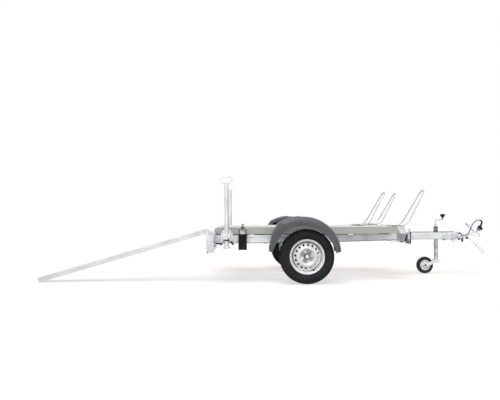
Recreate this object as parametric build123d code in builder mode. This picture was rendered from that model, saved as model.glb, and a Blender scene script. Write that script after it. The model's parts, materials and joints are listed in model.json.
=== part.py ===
"""Three-rail motorcycle trailer with its loading ramp, parked on its jockey wheel.

Millimetres. +X points to the coupling, +Z up, the right-hand side is -Y. The origin lies
on the ground under the middle of the whole outline, from the ramp's foot to the nose.
Places along the trailer are given as distances from the axle and moved by axle_x.
"""
import os
from math import asin, atan2, cos, degrees, pi, radians, sin, sqrt, tan

from build123d import *

os.makedirs("parts", exist_ok=True)

RIGHT, LEFT = -1, 1
SIDES = {"right": RIGHT, "left": LEFT}

# ---- driving dimensions -------------------------------------------------------------
# running gear
track = 1600
tyre_radius = 280.5
tyre_width = 165
tyre_wall = 10
tread_half, shoulder_half = 62, 72
crown_drop = 5.5           # tread edge below the middle of the tread
shoulder_radius = 263
widest_radius = 226        # where the sidewall bulges most
bead_radius = 165
bead_half = 57
rim_flange = 182.5
rim_lip = 6                # flange standing out beyond the bead
rim_sheet = 3.5
well_radius = 151
disc_sheet = 4
wheel_offset = 30          # centre plane to the disc's mounting face
vent_count, vent_circle, vent_radius = 16, 124, 10
bolt_count, bolt_circle, bolt_radius = 4, 50, 6
bolt_play = 0.5
centre_hole = 33
axle_tube = 60
axle_lead = 160            # torsion tube ahead of the wheel centres
axle_tube_z = 360          # height of its centre line
axle_bore = 15.05
axle_play = 0.05
axle_pad = 150             # seats of the axle tube under the beams
arm_thick = 25
drum_radius = 100
brake_gap = 5              # drum to the fixed back plate

# side beams, C section, straight and then drawn in to the drawbar
tyre_gap = 87.5            # beam's web to the tyre
beam_half = track / 2 - tyre_width / 2 - tyre_gap
beam_low = 410
beam_height = 80
beam_flange = 45
beam_web = 5
beam_swage = 2             # depth of the long pressed band in the web
beam_rear = 980
beam_bend = 110
beam_front = 1125
beam_front_half = 141.5    # outer face of the web at the front end

# deck
rail_half = 130
rail_inset = 45            # beam's web to the outer rail's side
rail_spacing = beam_half - rail_half - rail_inset
rail_low = 500
rail_height = 78
rail_sheet = 3
rail_rear = 928
rail_front = 1033          # where the nose begins, at the rail's lower edge
rail_lip = 35
rail_floor_half = 78
rail_floor_up = 15
nose_length = 77           # tapered closing piece at each rail's front end
nose_taper = 45            # drawn in at each side
nose_lean = 39             # its folds lean back over the rail's height
nose_tip_lean = 16         # and its front edge by this
cross_width = 60
cross_strip = 10
cross_box = 40
cross_places = (-560, -20, 500, 960)
rear_cross_front = 942
rear_cross_width = 70
rear_cross_low = 503
rear_cross_height = 63
rear_cross_wall = 3
side_plate = 3             # closes the crossmember's end, flush with the tyre's middle
rear_cross_half = track / 2 - side_plate

# front-wheel hoops
hoop_bar = 7
hoop_base_half = 112
hoop_top_half = 53
hoop_rise = 383
hoop_run = 216
hoop_base = 159
hoop_bend = 120
hoop_crown = 46
hoop_rear = 951
hoop_setbacks = {"right": 0, "centre": 306, "left": 43}
clamp_length, clamp_width, clamp_sheet = 120, 40, 6
clamp_bolt = 8

# drawbar, front bracket, overrun coupling
drawbar = 80
drawbar_wall = 5
drawbar_rear = beam_front + 25
drawbar_front = 1700
bracket_sheet = 6
bracket_front = beam_front + 175
bracket_drop = 50
bracket_half = 75
bracket_flare = 12         # wider at its upper edge
bracket_lap = 120          # floor plate's reach back under the beams
cheek_half = bracket_half + 8
stop_radius, stop_height = 14, 38      # round stop on the drawbar, against the front plate
housing_length = 160
housing_half = 44
housing_front = drawbar_front + housing_length
draw_tube = 25
collar_length = 34
head_length = 219          # collar to the middle of the ball
ball_socket = 25.5
socket_depth = 30
head_radius = 37
nose_reach = housing_front + collar_length + head_length + head_radius
head_low, head_high = 436, 486

# ramp
ramp_line = -rail_spacing
ramp_half = 100
ramp_depth = 52
ramp_plate = 4
ramp_floor = 3
ramp_foot = 2826
hook_plate = 5
hook_roll = 5
hook_play = 0.3
ramp_end_gap = 5

# drop legs at the rear
stand_x = 822
stand_gap = 70             # beam's web to the leg's centre line
stand_y = beam_half + stand_gap
stand_radius = 24
stand_wall = 3
stand_foot_z = 361
stand_top = 1046
stand_play = 0.05
ring_bar = 5
ring_half_width, ring_half_height = 61, 33
foot_radius = 44
stand_block_half = 42
stand_block_low, stand_block_high = beam_low + 45, beam_low + beam_height + 13
stand_block_reach = 36
stand_plate = 5
stand_plate_half, stand_plate_rise = 63, 68
handle_up, handle_down = 30, 64

# wheel chocks, held against the beams
chock_x = 655
chock_half, chock_reach = 44.5, 98
chock_below, chock_above = 65, 15      # past the beam's lower and upper faces
chock_belly = 72
holder_sheet, holder_ear = 6, 3
holder_width, holder_up, holder_above = 74, 23, 93

# mudguards: arcs by their centre, from the wheel's, and radius
guard_rear_arc = (97, 69, 476)
guard_front_arc = (-31, 26, 382)
guard_corner = 142.5       # where the rear arc ends and the front one begins, degrees
guard_crest = 94.5
guard_brow = (-203, 390)   # midway between them
guard_half = 110
guard_out = 5              # mudguard's middle outside the tyre's
guard_middle = track / 2 + guard_out
guard_sheet = 4
guard_end_z = 334
guard_shoulder = 62        # rounding of the outer edge, across and down
guard_drop = 46
guard_flange = 36          # depth of the inner edge
skirt_radius = 336         # skirt's lower edge, cut on an arc
skirt_drop = 40
skirt_back = 48

# jockey wheel
jockey_x = 1659
jockey_y = 80
jockey_tube = 24
jockey_wall = 2.5
jockey_low, jockey_top = 165, 548
jockey_wheel_radius = 100
jockey_wheel_width = 50
jockey_rim = 60
jockey_trail = 139
jockey_play = 0.05
fork_sheet = 5
fork_gap = 5.5
fork_depth = 37            # side plates' height under the mast
axle_pin = 6

# rear lamps and plate
board_x = 985              # rear face of the panel
board_sheet = 3
board_low = 385
lamp_box_low, lamp_box_width = 335, 237
lamp_box_inner = rear_cross_half - lamp_box_width
lamp_width, lamp_height, lamp_depth = 195, 130, 43
lamp_in, lamp_up = 112, 77 # lamp's middle from the panel's end and from its lower edge
plate_width, plate_height = 520, 110
side_plate_rear = 1030
side_plate_low, side_plate_high = 323, 510
side_plate_front = 954
gusset_reach = 48
gusset_high, gusset_tip = 425, 400

# ---- values worked out from them ----------------------------------------------------
hub_z = tyre_radius
v_angle = atan2(beam_half - beam_front_half, beam_front - beam_bend)
hook_top = rear_cross_low + rear_cross_height + hook_plate
ramp_head = rear_cross_front + rear_cross_width + ramp_end_gap
foot_to_head = sqrt((ramp_foot - ramp_head) ** 2 + hook_top ** 2)
ramp_angle = atan2(hook_top, ramp_foot - ramp_head) - asin(ramp_depth / foot_to_head)
ramp_reach = ramp_foot + ramp_depth * sin(ramp_angle)
axle_x = (ramp_reach - nose_reach) / 2
beam_top = beam_low + beam_height
rail_top = rail_low + rail_height


def write(piece, label):
    """Label a finished sub-part and write its STEP file."""
    piece.part.label = label
    export_step(piece.part, f"parts/{label}.step")


def folded(points, thickness):
    """Outline of a sheet folded along the points, its thickness to their left, corners mitred."""
    steps = [(Vector(*b) - Vector(*a)).normalized() for a, b in zip(points, points[1:])]
    normals = [Vector(-step.Y, step.X) for step in steps]
    far = []
    for i, point in enumerate(points):
        before = normals[max(i - 1, 0)]
        after = normals[min(i, len(normals) - 1)]
        shift = (before + after) * (thickness / (1 + before.dot(after)))
        far.append((point[0] + shift.X, point[1] + shift.Y))
    return [*points, *reversed(far)]


def outward(points, side):
    """Mirror a section drawn for the left side when it is used on the right."""
    return [(side * across, up) for across, up in points]


def outline(points):
    """Closed face through the points, added to the sketch that is open."""
    with BuildLine() as border:
        Polyline(*points, close=True)
    make_face(border.edges())


def upright(x, y=0, z=0):
    """Plane across the trailer: local x is +Y, local y is +Z."""
    return Plane((x, y, z), x_dir=(0, 1, 0), z_dir=(1, 0, 0))


def sideways(y, x=0, z=0):
    """Plane along the trailer, seen from the right: local x is +X, local y is +Z, normal -Y."""
    return Plane((x, y, z), x_dir=(1, 0, 0), z_dir=(0, -1, 0))


def rod(start, end, radius):
    """Round bar between two points, added to the part that is open."""
    start, end = Vector(*start), Vector(*end)
    with BuildSketch(Plane(start, z_dir=end - start)) as section:
        Circle(radius)
    extrude(section.sketch, amount=(end - start).length)


# ---- running gear -------------------------------------------------------------------
def make_tyre(side):
    half, edge = tyre_width / 2, tyre_radius - crown_drop
    flange = rim_flange + rim_sheet
    inner = bead_half - tyre_wall
    liner = [(tread_half, shoulder_radius - 1), (half - tyre_wall, widest_radius), (inner, flange)]
    wall = [(bead_half, flange), (half, widest_radius), (shoulder_half, shoulder_radius)]
    centre = (axle_x, side * track / 2, hub_z)
    with BuildPart() as tyre:
        with BuildSketch(upright(*centre)):
            with BuildLine():
                for hand in (-1, 1):
                    Polyline([(hand * across, up) for across, up in (
                        (bead_half, flange), (bead_half, bead_radius), (inner, bead_radius),
                        (inner, flange))])
                    ThreePointArc(*[(hand * across, up) for across, up in liner])
                    ThreePointArc(*[(hand * across, up) for across, up in wall])
                    Line((hand * shoulder_half, shoulder_radius), (hand * tread_half, edge))
                ThreePointArc((-liner[0][0], liner[0][1]), (0, tyre_radius - tyre_wall), liner[0])
                ThreePointArc((-tread_half, edge), (0, tyre_radius), (tread_half, edge))
            make_face()
        revolve(axis=Axis(centre, (0, 1, 0)))
    return tyre


def make_wheel(side):
    centre = (axle_x, side * track / 2, hub_z)
    face = wheel_offset + disc_sheet
    lip = [(bead_half + rim_lip, rim_flange), (bead_half, rim_flange - rim_lip),
           (bead_half, bead_radius)]
    barrel = [*lip, (24, bead_radius), (12, well_radius), (-18, well_radius), (-28, bead_radius),
              *[(-across, up) for across, up in reversed(lip)]]
    rolled = well_radius - rim_sheet + 1
    disc = [(6, rolled), (22, rolled), (30, rolled - 5), (face + 1, vent_circle + 13),
            (face + 5, vent_circle), (face + 11, vent_circle - 16), (face + 17, 98),
            (face + 20, 90), (face + 19, 82), (face + 14, 74), (face + 5, 67), (face, 61),
            (face, centre_hole)]
    with BuildPart() as wheel:
        with BuildSketch(upright(*centre)):
            outline(outward(folded(barrel, rim_sheet), side))
            outline(outward(folded(disc, -disc_sheet), side))
        revolve(axis=Axis(centre, (0, 1, 0)))
        with BuildSketch(sideways(centre[1] + side * 70, axle_x, hub_z)):
            with PolarLocations(vent_circle, vent_count):
                Circle(vent_radius)
            with PolarLocations(bolt_circle, bolt_count, start_angle=45):
                Circle(bolt_radius + bolt_play)
        extrude(amount=side * 70, mode=Mode.SUBTRACT)
    return wheel


def make_hub(side):
    mount = track / 2 + wheel_offset
    inner = drum_inner
    section = [(inner, axle_bore), (inner, drum_radius), (inner + 60, drum_radius),
               (inner + 72, 45), (mount - 12, 40), (mount - 12, 64), (mount, 64),
               (mount, 28), (mount + 22, 27), (mount + 29, 20), (mount + 31, 0),
               (mount + 14, 0), (mount + 14, axle_bore)]
    with BuildPart() as hub:
        with BuildSketch(upright(axle_x, 0, hub_z)):
            outline(outward(section, side))
        revolve(axis=Axis((axle_x, 0, hub_z), (0, 1, 0)))
        with BuildSketch(sideways(side * (mount - 2), axle_x, hub_z)):
            with PolarLocations(bolt_circle, bolt_count, start_angle=45):
                Circle(bolt_radius)
        extrude(amount=-side * (disc_sheet + 4))
        with BuildSketch(sideways(side * (mount + disc_sheet), axle_x, hub_z)):
            with PolarLocations(bolt_circle, bolt_count, start_angle=45):
                RegularPolygon(10, 6)
        extrude(amount=-side * 11)
    return hub


arm_inner = beam_half + 12
arm_outer = arm_inner + arm_thick
drum_inner = arm_outer + 4 + brake_gap
pivot = (axle_x + axle_lead, axle_tube_z)

with BuildPart() as axle_beam:
    with BuildSketch(upright(axle_x + axle_lead, 0, axle_tube_z)):
        Rectangle(2 * arm_inner, axle_tube)
    extrude(amount=axle_tube / 2, both=True)
    with BuildSketch(sideways(0, *pivot)):
        Rectangle(axle_tube - 8, axle_tube - 8)
    extrude(amount=arm_inner, both=True, mode=Mode.SUBTRACT)
    tube_top = axle_tube_z + axle_tube / 2
    for side in SIDES.values():
        with BuildSketch(Plane.XY.offset(tube_top)):
            with Locations((pivot[0], side * (beam_half - beam_flange / 2))):
                Rectangle(axle_pad, beam_flange - 10)
        extrude(amount=beam_low - tube_top)
write(axle_beam, "axle_tube")

with BuildPart() as swing_arms:
    for side in SIDES.values():
        with BuildSketch(sideways(side * arm_inner)):
            with Locations(pivot):
                Circle(44)
            with Locations((axle_x, hub_z)):
                Circle(36)
            outline([(pivot[0] + 10, pivot[1] + 43), (pivot[0] + 18, pivot[1] - 40),
                     (axle_x + 12, hub_z - 34), (axle_x - 16, hub_z + 32)])
        extrude(amount=-side * arm_thick)
        with BuildSketch(sideways(side * arm_outer, axle_x, hub_z)):
            Circle(drum_radius + 4)
        extrude(amount=-side * 4)
        with BuildSketch(sideways(side * (arm_outer + 4), axle_x, hub_z)):
            Circle(axle_bore - axle_play)
        extrude(amount=-side * (track / 2 + wheel_offset + 6 - arm_outer - 4))
write(swing_arms, "swing_arms")

for name, side in SIDES.items():
    write(make_tyre(side), f"tyre_{name}")
    write(make_wheel(side), f"wheel_{name}")
    write(make_hub(side), f"hub_{name}")


# ---- frame --------------------------------------------------------------------------
def beam_line(side, inset):
    """Plan line of a side beam, moved inwards by inset, from its rear end to its front."""
    front_half = beam_half - (beam_front - beam_bend) * tan(v_angle) - inset / cos(v_angle)
    return [(axle_x - beam_rear, side * (beam_half - inset)),
            (axle_x + beam_bend - inset * tan(v_angle / 2), side * (beam_half - inset)),
            (axle_x + beam_front, side * front_half)]


def beam_inside(x):
    """Free half width between the beams' flanges at a distance ahead of the axle."""
    drawn_in = max(x - beam_bend, 0) * tan(v_angle)
    return beam_half - drawn_in - beam_flange / cos(v_angle)


def make_beam(side):
    def band(outer, inner):
        outline([*beam_line(side, outer), *reversed(beam_line(side, inner))])

    with BuildPart() as beam:
        with BuildSketch(Plane.XY.offset(beam_low)):
            band(0, beam_flange)
        extrude(amount=beam_height)
        with BuildSketch(Plane.XY.offset(beam_low + beam_web)):
            band(beam_web, beam_flange + 1)
        extrude(amount=beam_height - 2 * beam_web, mode=Mode.SUBTRACT)
        with BuildSketch(Plane.XY.offset(beam_low + beam_height / 4)):
            band(-1, beam_swage)
        extrude(amount=beam_height / 2, mode=Mode.SUBTRACT)
    return beam


for name, side in SIDES.items():
    write(make_beam(side), f"side_beam_{name}")

with BuildPart() as rear_cross:
    rear_cross_x = axle_x - rear_cross_front - rear_cross_width / 2
    with BuildSketch(sideways(0, rear_cross_x, rear_cross_low + rear_cross_height / 2)):
        Rectangle(rear_cross_width, rear_cross_height)
        Rectangle(rear_cross_width - 2 * rear_cross_wall,
                  rear_cross_height - 2 * rear_cross_wall, mode=Mode.SUBTRACT)
    extrude(amount=rear_cross_half, both=True)
    pad = beam_rear - rear_cross_front
    with BuildSketch(Plane.XY.offset(beam_top)):
        with Locations([(axle_x - beam_rear + pad / 2, side * (beam_half - beam_flange / 2))
                        for side in SIDES.values()]):
            Rectangle(pad, beam_flange)
    extrude(amount=rear_cross_low - beam_top)
write(rear_cross, "rear_crossmember")

with BuildPart() as cross_members:
    for place in cross_places:
        with BuildSketch(Plane.XY.offset(beam_top)):
            with Locations((axle_x + place, 0)):
                Rectangle(cross_width, 2 * (rail_spacing + rail_half))
        extrude(amount=cross_strip)
        with BuildSketch(Plane.XY.offset(beam_top - cross_box)):
            with Locations((axle_x + place, 0)):
                Rectangle(cross_width, 2 * (beam_inside(place + cross_width / 2) - 1))
        extrude(amount=cross_box)
write(cross_members, "crossmembers")


# ---- deck ---------------------------------------------------------------------------
def make_rail(middle):
    skirt = [(rail_half, rail_low), (rail_half, rail_top), (rail_half - rail_lip, rail_top),
             (rail_floor_half, rail_low + rail_floor_up + rail_sheet)]
    section = [*skirt, *[(-across, up) for across, up in reversed(skirt)]]

    def nose(lean, tip_lean):
        start = axle_x + rail_front - lean
        tip, tip_half = axle_x + rail_front + nose_length - tip_lean, rail_half - nose_taper
        return [(start, middle - rail_half), (tip, middle - tip_half),
                (tip, middle + tip_half), (start, middle + rail_half)]

    with BuildPart() as rail:
        with BuildSketch(upright(axle_x - rail_rear, middle)):
            outline(folded(section, rail_sheet))
        extrude(amount=rail_rear + rail_front - nose_lean - 1)
        back = axle_x + rail_front - nose_lean - 2
        for height, lean, tip_lean in ((rail_low, 0, 0), (rail_top, nose_lean, nose_tip_lean)):
            with BuildSketch(Plane.XY.offset(height)):
                outline([(back, middle - rail_half), *nose(lean, tip_lean),
                         (back, middle + rail_half)])
        loft(ruled=True)
    return rail


middles = {"right": -rail_spacing, "centre": 0, "left": rail_spacing}
for name, middle in middles.items():
    write(make_rail(middle), f"rail_{name}")


# ---- front-wheel hoops --------------------------------------------------------------
def make_hoop(middle, rear):
    height = rail_top + hoop_bar
    rear_x = axle_x + rear
    foot_x = rear_x + hoop_base
    top_x = foot_x + hoop_run
    with BuildPart() as hoop:
        with BuildLine() as bar:
            FilletPolyline(
                (rear_x, middle - hoop_base_half, height),
                (foot_x, middle - hoop_base_half, height),
                (top_x, middle - hoop_top_half, height + hoop_rise),
                (top_x, middle + hoop_top_half, height + hoop_rise),
                (foot_x, middle + hoop_base_half, height),
                (rear_x, middle + hoop_base_half, height),
                radius=[hoop_bend, hoop_crown, hoop_crown, hoop_bend])
        with BuildSketch(upright(rear_x, middle - hoop_base_half, height)):
            Circle(hoop_bar)
        sweep(path=bar.line)
    return hoop


hoop_rears = {name: hoop_rear - hoop_setbacks[name] for name in middles}
for name, middle in middles.items():
    write(make_hoop(middle, hoop_rears[name]), f"hoop_{name}")

bolt_inset = hoop_bar + clamp_bolt / 2 + 1
feet = [(axle_x + hoop_rears[name] + 5, middle + side * hoop_base_half, side)
        for name, middle in middles.items() for side in SIDES.values()]
bolts = [(x + end * clamp_length / 3, y - side * bolt_inset)
         for x, y, side in feet for end in (-1, 1)]
with BuildPart() as clamps:
    with BuildSketch(Plane.XY.offset(rail_top + 2 * hoop_bar)):
        with Locations([(x, y) for x, y, side in feet]):
            Rectangle(clamp_length, clamp_width)
    extrude(amount=clamp_sheet)
    with BuildSketch(Plane.XY.offset(rail_top)):
        with Locations(bolts):
            Circle(clamp_bolt / 2)
    extrude(amount=2 * hoop_bar)
    with BuildSketch(Plane.XY.offset(rail_top + 2 * hoop_bar + clamp_sheet)):
        with Locations(bolts):
            RegularPolygon(clamp_bolt, 6)
    extrude(amount=7)
write(clamps, "hoop_clamps")

# ---- drawbar and front bracket ------------------------------------------------------
drawbar_z = beam_low + drawbar / 2
with BuildPart() as drawbar_tube:
    with BuildSketch(upright(axle_x + drawbar_rear, 0, drawbar_z)):
        RectangleRounded(drawbar, drawbar, 8)
        RectangleRounded(drawbar - 2 * drawbar_wall, drawbar - 2 * drawbar_wall, 4,
                         mode=Mode.SUBTRACT)
    extrude(amount=drawbar_front - drawbar_rear)
write(drawbar_tube, "drawbar")

bracket_low = beam_low - bracket_drop
with BuildPart() as front_bracket:
    rear_x, front_x = axle_x + beam_front - bracket_lap, axle_x + bracket_front
    slope = [(rear_x, beam_low - bracket_sheet), (front_x, bracket_low)]
    with BuildSketch(sideways(0)):
        outline(folded(slope, bracket_sheet))
    extrude(amount=beam_half, both=True)
    with BuildSketch(Plane.XY.offset(bracket_low - 1)):
        wide = beam_inside(beam_front - bracket_lap) + beam_flange
        outline([(rear_x, -wide), (front_x, -bracket_half), (front_x, bracket_half),
                 (rear_x, wide)])
    extrude(amount=beam_height, mode=Mode.INTERSECT)
    for side in SIDES.values():
        outer = beam_line(side, beam_web)[2]
        inner = beam_line(side, beam_web + bracket_sheet)[2]
        reach, drift = bracket_lap / 2, side * bracket_lap / 2 * tan(v_angle)
        with BuildSketch(Plane.XY.offset(beam_low + beam_web + 1)):
            outline([(outer[0] - reach, outer[1] + drift), outer, (front_x, side * cheek_half),
                     (front_x, side * (cheek_half - bracket_sheet)), inner,
                     (inner[0] - reach, inner[1] + drift)])
        extrude(amount=beam_height - 2 * beam_web - 2)
    with BuildSketch(upright(front_x)):
        outline([(-bracket_half, bracket_low), (bracket_half, bracket_low),
                 (bracket_half + bracket_flare, beam_top + 8),
                 (-bracket_half - bracket_flare, beam_top + 8)])
        with Locations((0, drawbar_z)):
            RectangleRounded(drawbar + 0.2, drawbar + 0.2, 8, mode=Mode.SUBTRACT)
    extrude(amount=bracket_sheet)
    with BuildSketch(Plane.XY.offset(beam_top + 2)):
        with Locations((front_x - bracket_lap / 2, 0)):
            Rectangle(bracket_lap, 2 * (bracket_half + bracket_flare))
    extrude(amount=bracket_sheet)
    with BuildSketch(Plane.XY.offset(drawbar_z + drawbar / 2)):
        with Locations((front_x + stop_radius, 0)):
            Circle(stop_radius)
    extrude(amount=stop_height)
write(front_bracket, "front_bracket")

# ---- overrun housing and coupling ---------------------------------------------------
with BuildPart() as housing:
    with BuildSketch(upright(axle_x + drawbar_front, 0, drawbar_z)):
        RectangleRounded(2 * housing_half, drawbar + 4, 14)
    extrude(amount=housing_front - drawbar_front)
    with BuildSketch(upright(axle_x + housing_front, 0, drawbar_z)):
        Circle(draw_tube + 9)
    extrude(amount=collar_length)
    for share in (0.25, 0.8125):
        with BuildSketch(Plane.XY.offset(drawbar_z - drawbar / 2 - 12)):
            with Locations((axle_x + drawbar_front + share * housing_length, 0)):
                RegularPolygon(10, 6)
        extrude(amount=drawbar + 24)
write(housing, "overrun_housing")

head_rear = axle_x + housing_front + collar_length
ball_x = head_rear + head_length
with BuildPart() as head:
    with BuildSketch(upright(head_rear, 0, drawbar_z)):
        Circle(draw_tube)
    extrude(amount=70)
    with BuildSketch(Plane.XY.offset(head_low)):
        with Locations((ball_x, 0)):
            Circle(head_radius)
        outline([(head_rear + 45, -28), (ball_x, -head_radius), (ball_x, head_radius),
                 (head_rear + 45, 28)])
    extrude(amount=head_high - head_low, taper=6)
    with BuildSketch(Plane.XY.offset(head_low)):
        with Locations((ball_x, 0)):
            Circle(ball_socket)
    extrude(amount=socket_depth, mode=Mode.SUBTRACT)
write(head, "coupling_head")

handle_base = (ball_x - 25, head_high)
handle_end = (ball_x - 125, 0, 598)
with BuildPart() as handle:
    with BuildSketch(Plane.XY.offset(head_high)):
        with Locations((handle_base[0], 0)):
            RectangleRounded(44, 36, 6)
    extrude(amount=12)
    rod((handle_base[0], 0, head_high + 8), handle_end, 9)
    for across in (-13, 13):
        rod((handle_base[0], across, head_high + 8),
            (handle_base[0] - 45, across, head_high + 60), 5)
    rod((handle_base[0] - 45, -13, head_high + 60), (handle_base[0] - 45, 13, head_high + 60), 5)
write(handle, "coupling_handle")

lever_x = head_rear + 24
with BuildPart() as lever:
    with BuildSketch(sideways(0)):
        outline([(lever_x, drawbar_z - draw_tube + 2), (lever_x + 37, drawbar_z - draw_tube + 2),
                 (lever_x + 37, 386), (lever_x + 22, 372)])
    extrude(amount=5, both=True)
    with BuildSketch(upright(lever_x - 5, 0, drawbar_z)):
        Circle(draw_tube)
    extrude(amount=60, mode=Mode.SUBTRACT)
write(lever, "overrun_lever")

guide_x = axle_x + housing_front - 44
housing_low = drawbar_z - drawbar / 2 - 2
with BuildPart() as guide:
    with BuildLine() as loop:
        FilletPolyline((guide_x, 0, housing_low), (guide_x, 0, housing_low - 24),
                       (guide_x + 40, 0, housing_low - 24), (guide_x + 40, 0, housing_low),
                       radius=18)
    with BuildSketch(Plane.XY.offset(housing_low)):
        with Locations((guide_x, 0)):
            Circle(2.5)
    sweep(path=loop.line)
write(guide, "guide_ring")

# ---- loading ramp, hooked over the rear crossmember ---------------------------------
along = Vector(cos(ramp_angle), 0, sin(ramp_angle))
foot = Vector(axle_x - ramp_foot, ramp_line, 0)
ramp_plane = Plane(foot, x_dir=(0, 1, 0), z_dir=along)
ramp_length = sqrt(foot_to_head ** 2 - ramp_depth ** 2)
cut_x = axle_x - ramp_head
roll_x = axle_x - rear_cross_front + hook_roll + hook_play
roll_z = hook_top - hook_roll
with BuildPart() as ramp:
    with BuildSketch(ramp_plane):
        with Locations([(side * (ramp_half - ramp_plate / 2), ramp_depth / 2)
                        for side in SIDES.values()]):
            Rectangle(ramp_plate, ramp_depth)
        with Locations((0, ramp_depth - 16)):
            Rectangle(2 * ramp_half, ramp_floor)
    extrude(amount=ramp_length)
    with BuildSketch(sideways(ramp_line + ramp_half)):
        outline([(cut_x, 0), (cut_x + ramp_depth, 0), (cut_x + ramp_depth, 2 * hook_top),
                 (cut_x, 2 * hook_top)])
    extrude(amount=2 * ramp_half, mode=Mode.SUBTRACT)
    with BuildSketch(sideways(ramp_line + ramp_half)):
        outline([(cut_x - 8, hook_top - ramp_depth), (cut_x, hook_top - ramp_depth),
                 (cut_x, hook_top - hook_plate), (roll_x, hook_top - hook_plate),
                 (roll_x, hook_top), (cut_x - 8, hook_top)])
        with Locations((roll_x, roll_z)):
            Circle(hook_roll)
    extrude(amount=2 * ramp_half)
write(ramp, "ramp")


# ---- drop legs and their clamps -----------------------------------------------------
def make_stand(side):
    x, y = axle_x - stand_x, side * stand_y
    ring_z = stand_top + ring_half_height - ring_bar + 1
    with BuildPart() as stand:
        with BuildSketch(Plane.XY.offset(stand_foot_z + 2)):
            with Locations((x, y)):
                Circle(stand_radius)
                Circle(stand_radius - stand_wall, mode=Mode.SUBTRACT)
        extrude(amount=stand_top - stand_foot_z - 2)
        with BuildSketch(Plane.XY.offset(stand_top - 4)):
            with Locations((x, y)):
                Circle(stand_radius - 1)
        extrude(amount=4)
        with BuildLine(sideways(y, x, ring_z)) as ring:
            FilletPolyline((-ring_half_width, -ring_half_height),
                           (ring_half_width, -ring_half_height),
                           (ring_half_width, ring_half_height),
                           (-ring_half_width, ring_half_height), radius=30, close=True)
        with BuildSketch(ring.line ^ 0):
            Circle(ring_bar)
        sweep(path=ring.line)
        with BuildSketch(upright(x, y, stand_foot_z)):
            outline([(0, 0), (foot_radius - 6, 0), (foot_radius, 8), (foot_radius - 3, 9),
                     (foot_radius - 8, 4), (0, 4)])
        revolve(axis=Axis((x, y, 0), (0, 0, 1)))
    return stand


for name, side in SIDES.items():
    write(make_stand(side), f"stand_{name}")

with BuildPart() as stand_clamps:
    for side in SIDES.values():
        x = axle_x - stand_x
        low, high = beam_low + 15, beam_top + stand_plate_rise
        with BuildSketch(sideways(side * beam_half, x)):
            outline([(-stand_plate_half, low), (stand_plate_half, low),
                     (stand_plate_half, high - 43), (stand_plate_half - 33, high),
                     (33 - stand_plate_half, high), (-stand_plate_half, high - 43)])
        extrude(amount=-side * stand_plate)
        inner, outer = beam_half + stand_plate, stand_y + stand_block_reach
        with BuildSketch(Plane.XY.offset(stand_block_low)):
            with Locations((x, side * (inner + outer) / 2)):
                RectangleRounded(2 * stand_block_half, outer - inner, 8)
        extrude(amount=stand_block_high - stand_block_low)
        with BuildSketch(Plane.XY.offset(stand_block_low)):
            with Locations((x, side * stand_y)):
                Circle(stand_radius + stand_play)
        extrude(amount=stand_block_high - stand_block_low, mode=Mode.SUBTRACT)
write(stand_clamps, "stand_clamps")

with BuildPart() as clamp_handles:
    for side in SIDES.values():
        x, y = axle_x - stand_x + 24, side * (stand_y + stand_block_reach)
        z = stand_block_low + 12
        rod((x, y, z), (x, y + side * 22, z), 7)
        y_bar = y + side * 15
        rod((x - 22, y_bar, z + handle_up), (x + 46, y_bar, z - handle_down), 5)
write(clamp_handles, "clamp_handles")


# ---- mudguards and stays ------------------------------------------------------------
def on_arc(arc, angle):
    """Point of one of a mudguard's arcs, from the wheel's centre."""
    x, z, radius = arc
    return x + radius * cos(radians(angle)), z + radius * sin(radians(angle))


def arch(y, inset):
    """Outline of the mudguard, drawn in by inset and carried on below its ends."""
    def turn(arc):
        return degrees(asin((guard_end_z - hub_z - 2 * guard_drop - arc[1]) / arc[2]))

    behind, ahead = 180 - turn(guard_rear_arc), turn(guard_front_arc)
    with BuildSketch(sideways(y, axle_x, hub_z)) as slab:
        with BuildLine() as border:
            ThreePointArc(*[on_arc(guard_rear_arc, angle)
                            for angle in (behind, (behind + guard_corner) / 2, guard_corner)])
            ThreePointArc(on_arc(guard_rear_arc, guard_corner), guard_brow,
                          on_arc(guard_front_arc, guard_crest))
            ThreePointArc(*[on_arc(guard_front_arc, angle)
                            for angle in (guard_crest, (guard_crest + ahead) / 2, ahead)])
            Line(on_arc(guard_front_arc, ahead), on_arc(guard_rear_arc, behind))
        make_face(border.edges())
        if inset:
            offset(amount=-inset)
    return slab.sketch.face()


def make_guard(side):
    rim, shoulder = guard_half - 16, guard_half - guard_shoulder
    stations = [(-guard_half, 8), (30 - guard_half, 0), (shoulder, 0), (rim, guard_drop / 2 - 1),
                (guard_half, guard_drop)]
    hollow = [(guard_sheet - guard_half, 8), (30 - guard_half, 0), (shoulder, 0),
              (rim - 3, guard_drop / 2 - 1), (guard_half - guard_sheet, guard_drop)]
    with BuildPart() as guard:
        for line, inward, mode in ((stations, 0, Mode.ADD), (hollow, guard_sheet, Mode.SUBTRACT)):
            for near, far in zip(line, line[1:]):
                loft([arch(side * (guard_middle + across), inset + inward)
                      for across, inset in (near, far)], ruled=True, mode=mode)
        opening = arch(side * (guard_middle - guard_half - 1), guard_flange)
        extrude(opening, amount=-side * (guard_sheet + 2), mode=Mode.SUBTRACT)
        below = 2 * guard_rear_arc[2]
        with BuildSketch(Plane.XY.offset(guard_end_z - below)):
            with Locations((axle_x, side * guard_middle)):
                Rectangle(below, 3 * guard_half)
        extrude(amount=below, mode=Mode.SUBTRACT)
        with BuildSketch(sideways(side * (guard_middle + guard_half + 5), axle_x - skirt_back,
                                  hub_z - skirt_drop)):
            Circle(skirt_radius)
        extrude(amount=side * guard_shoulder, mode=Mode.SUBTRACT)
    return guard


for name, side in SIDES.items():
    write(make_guard(side), f"mudguard_{name}")

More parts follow.
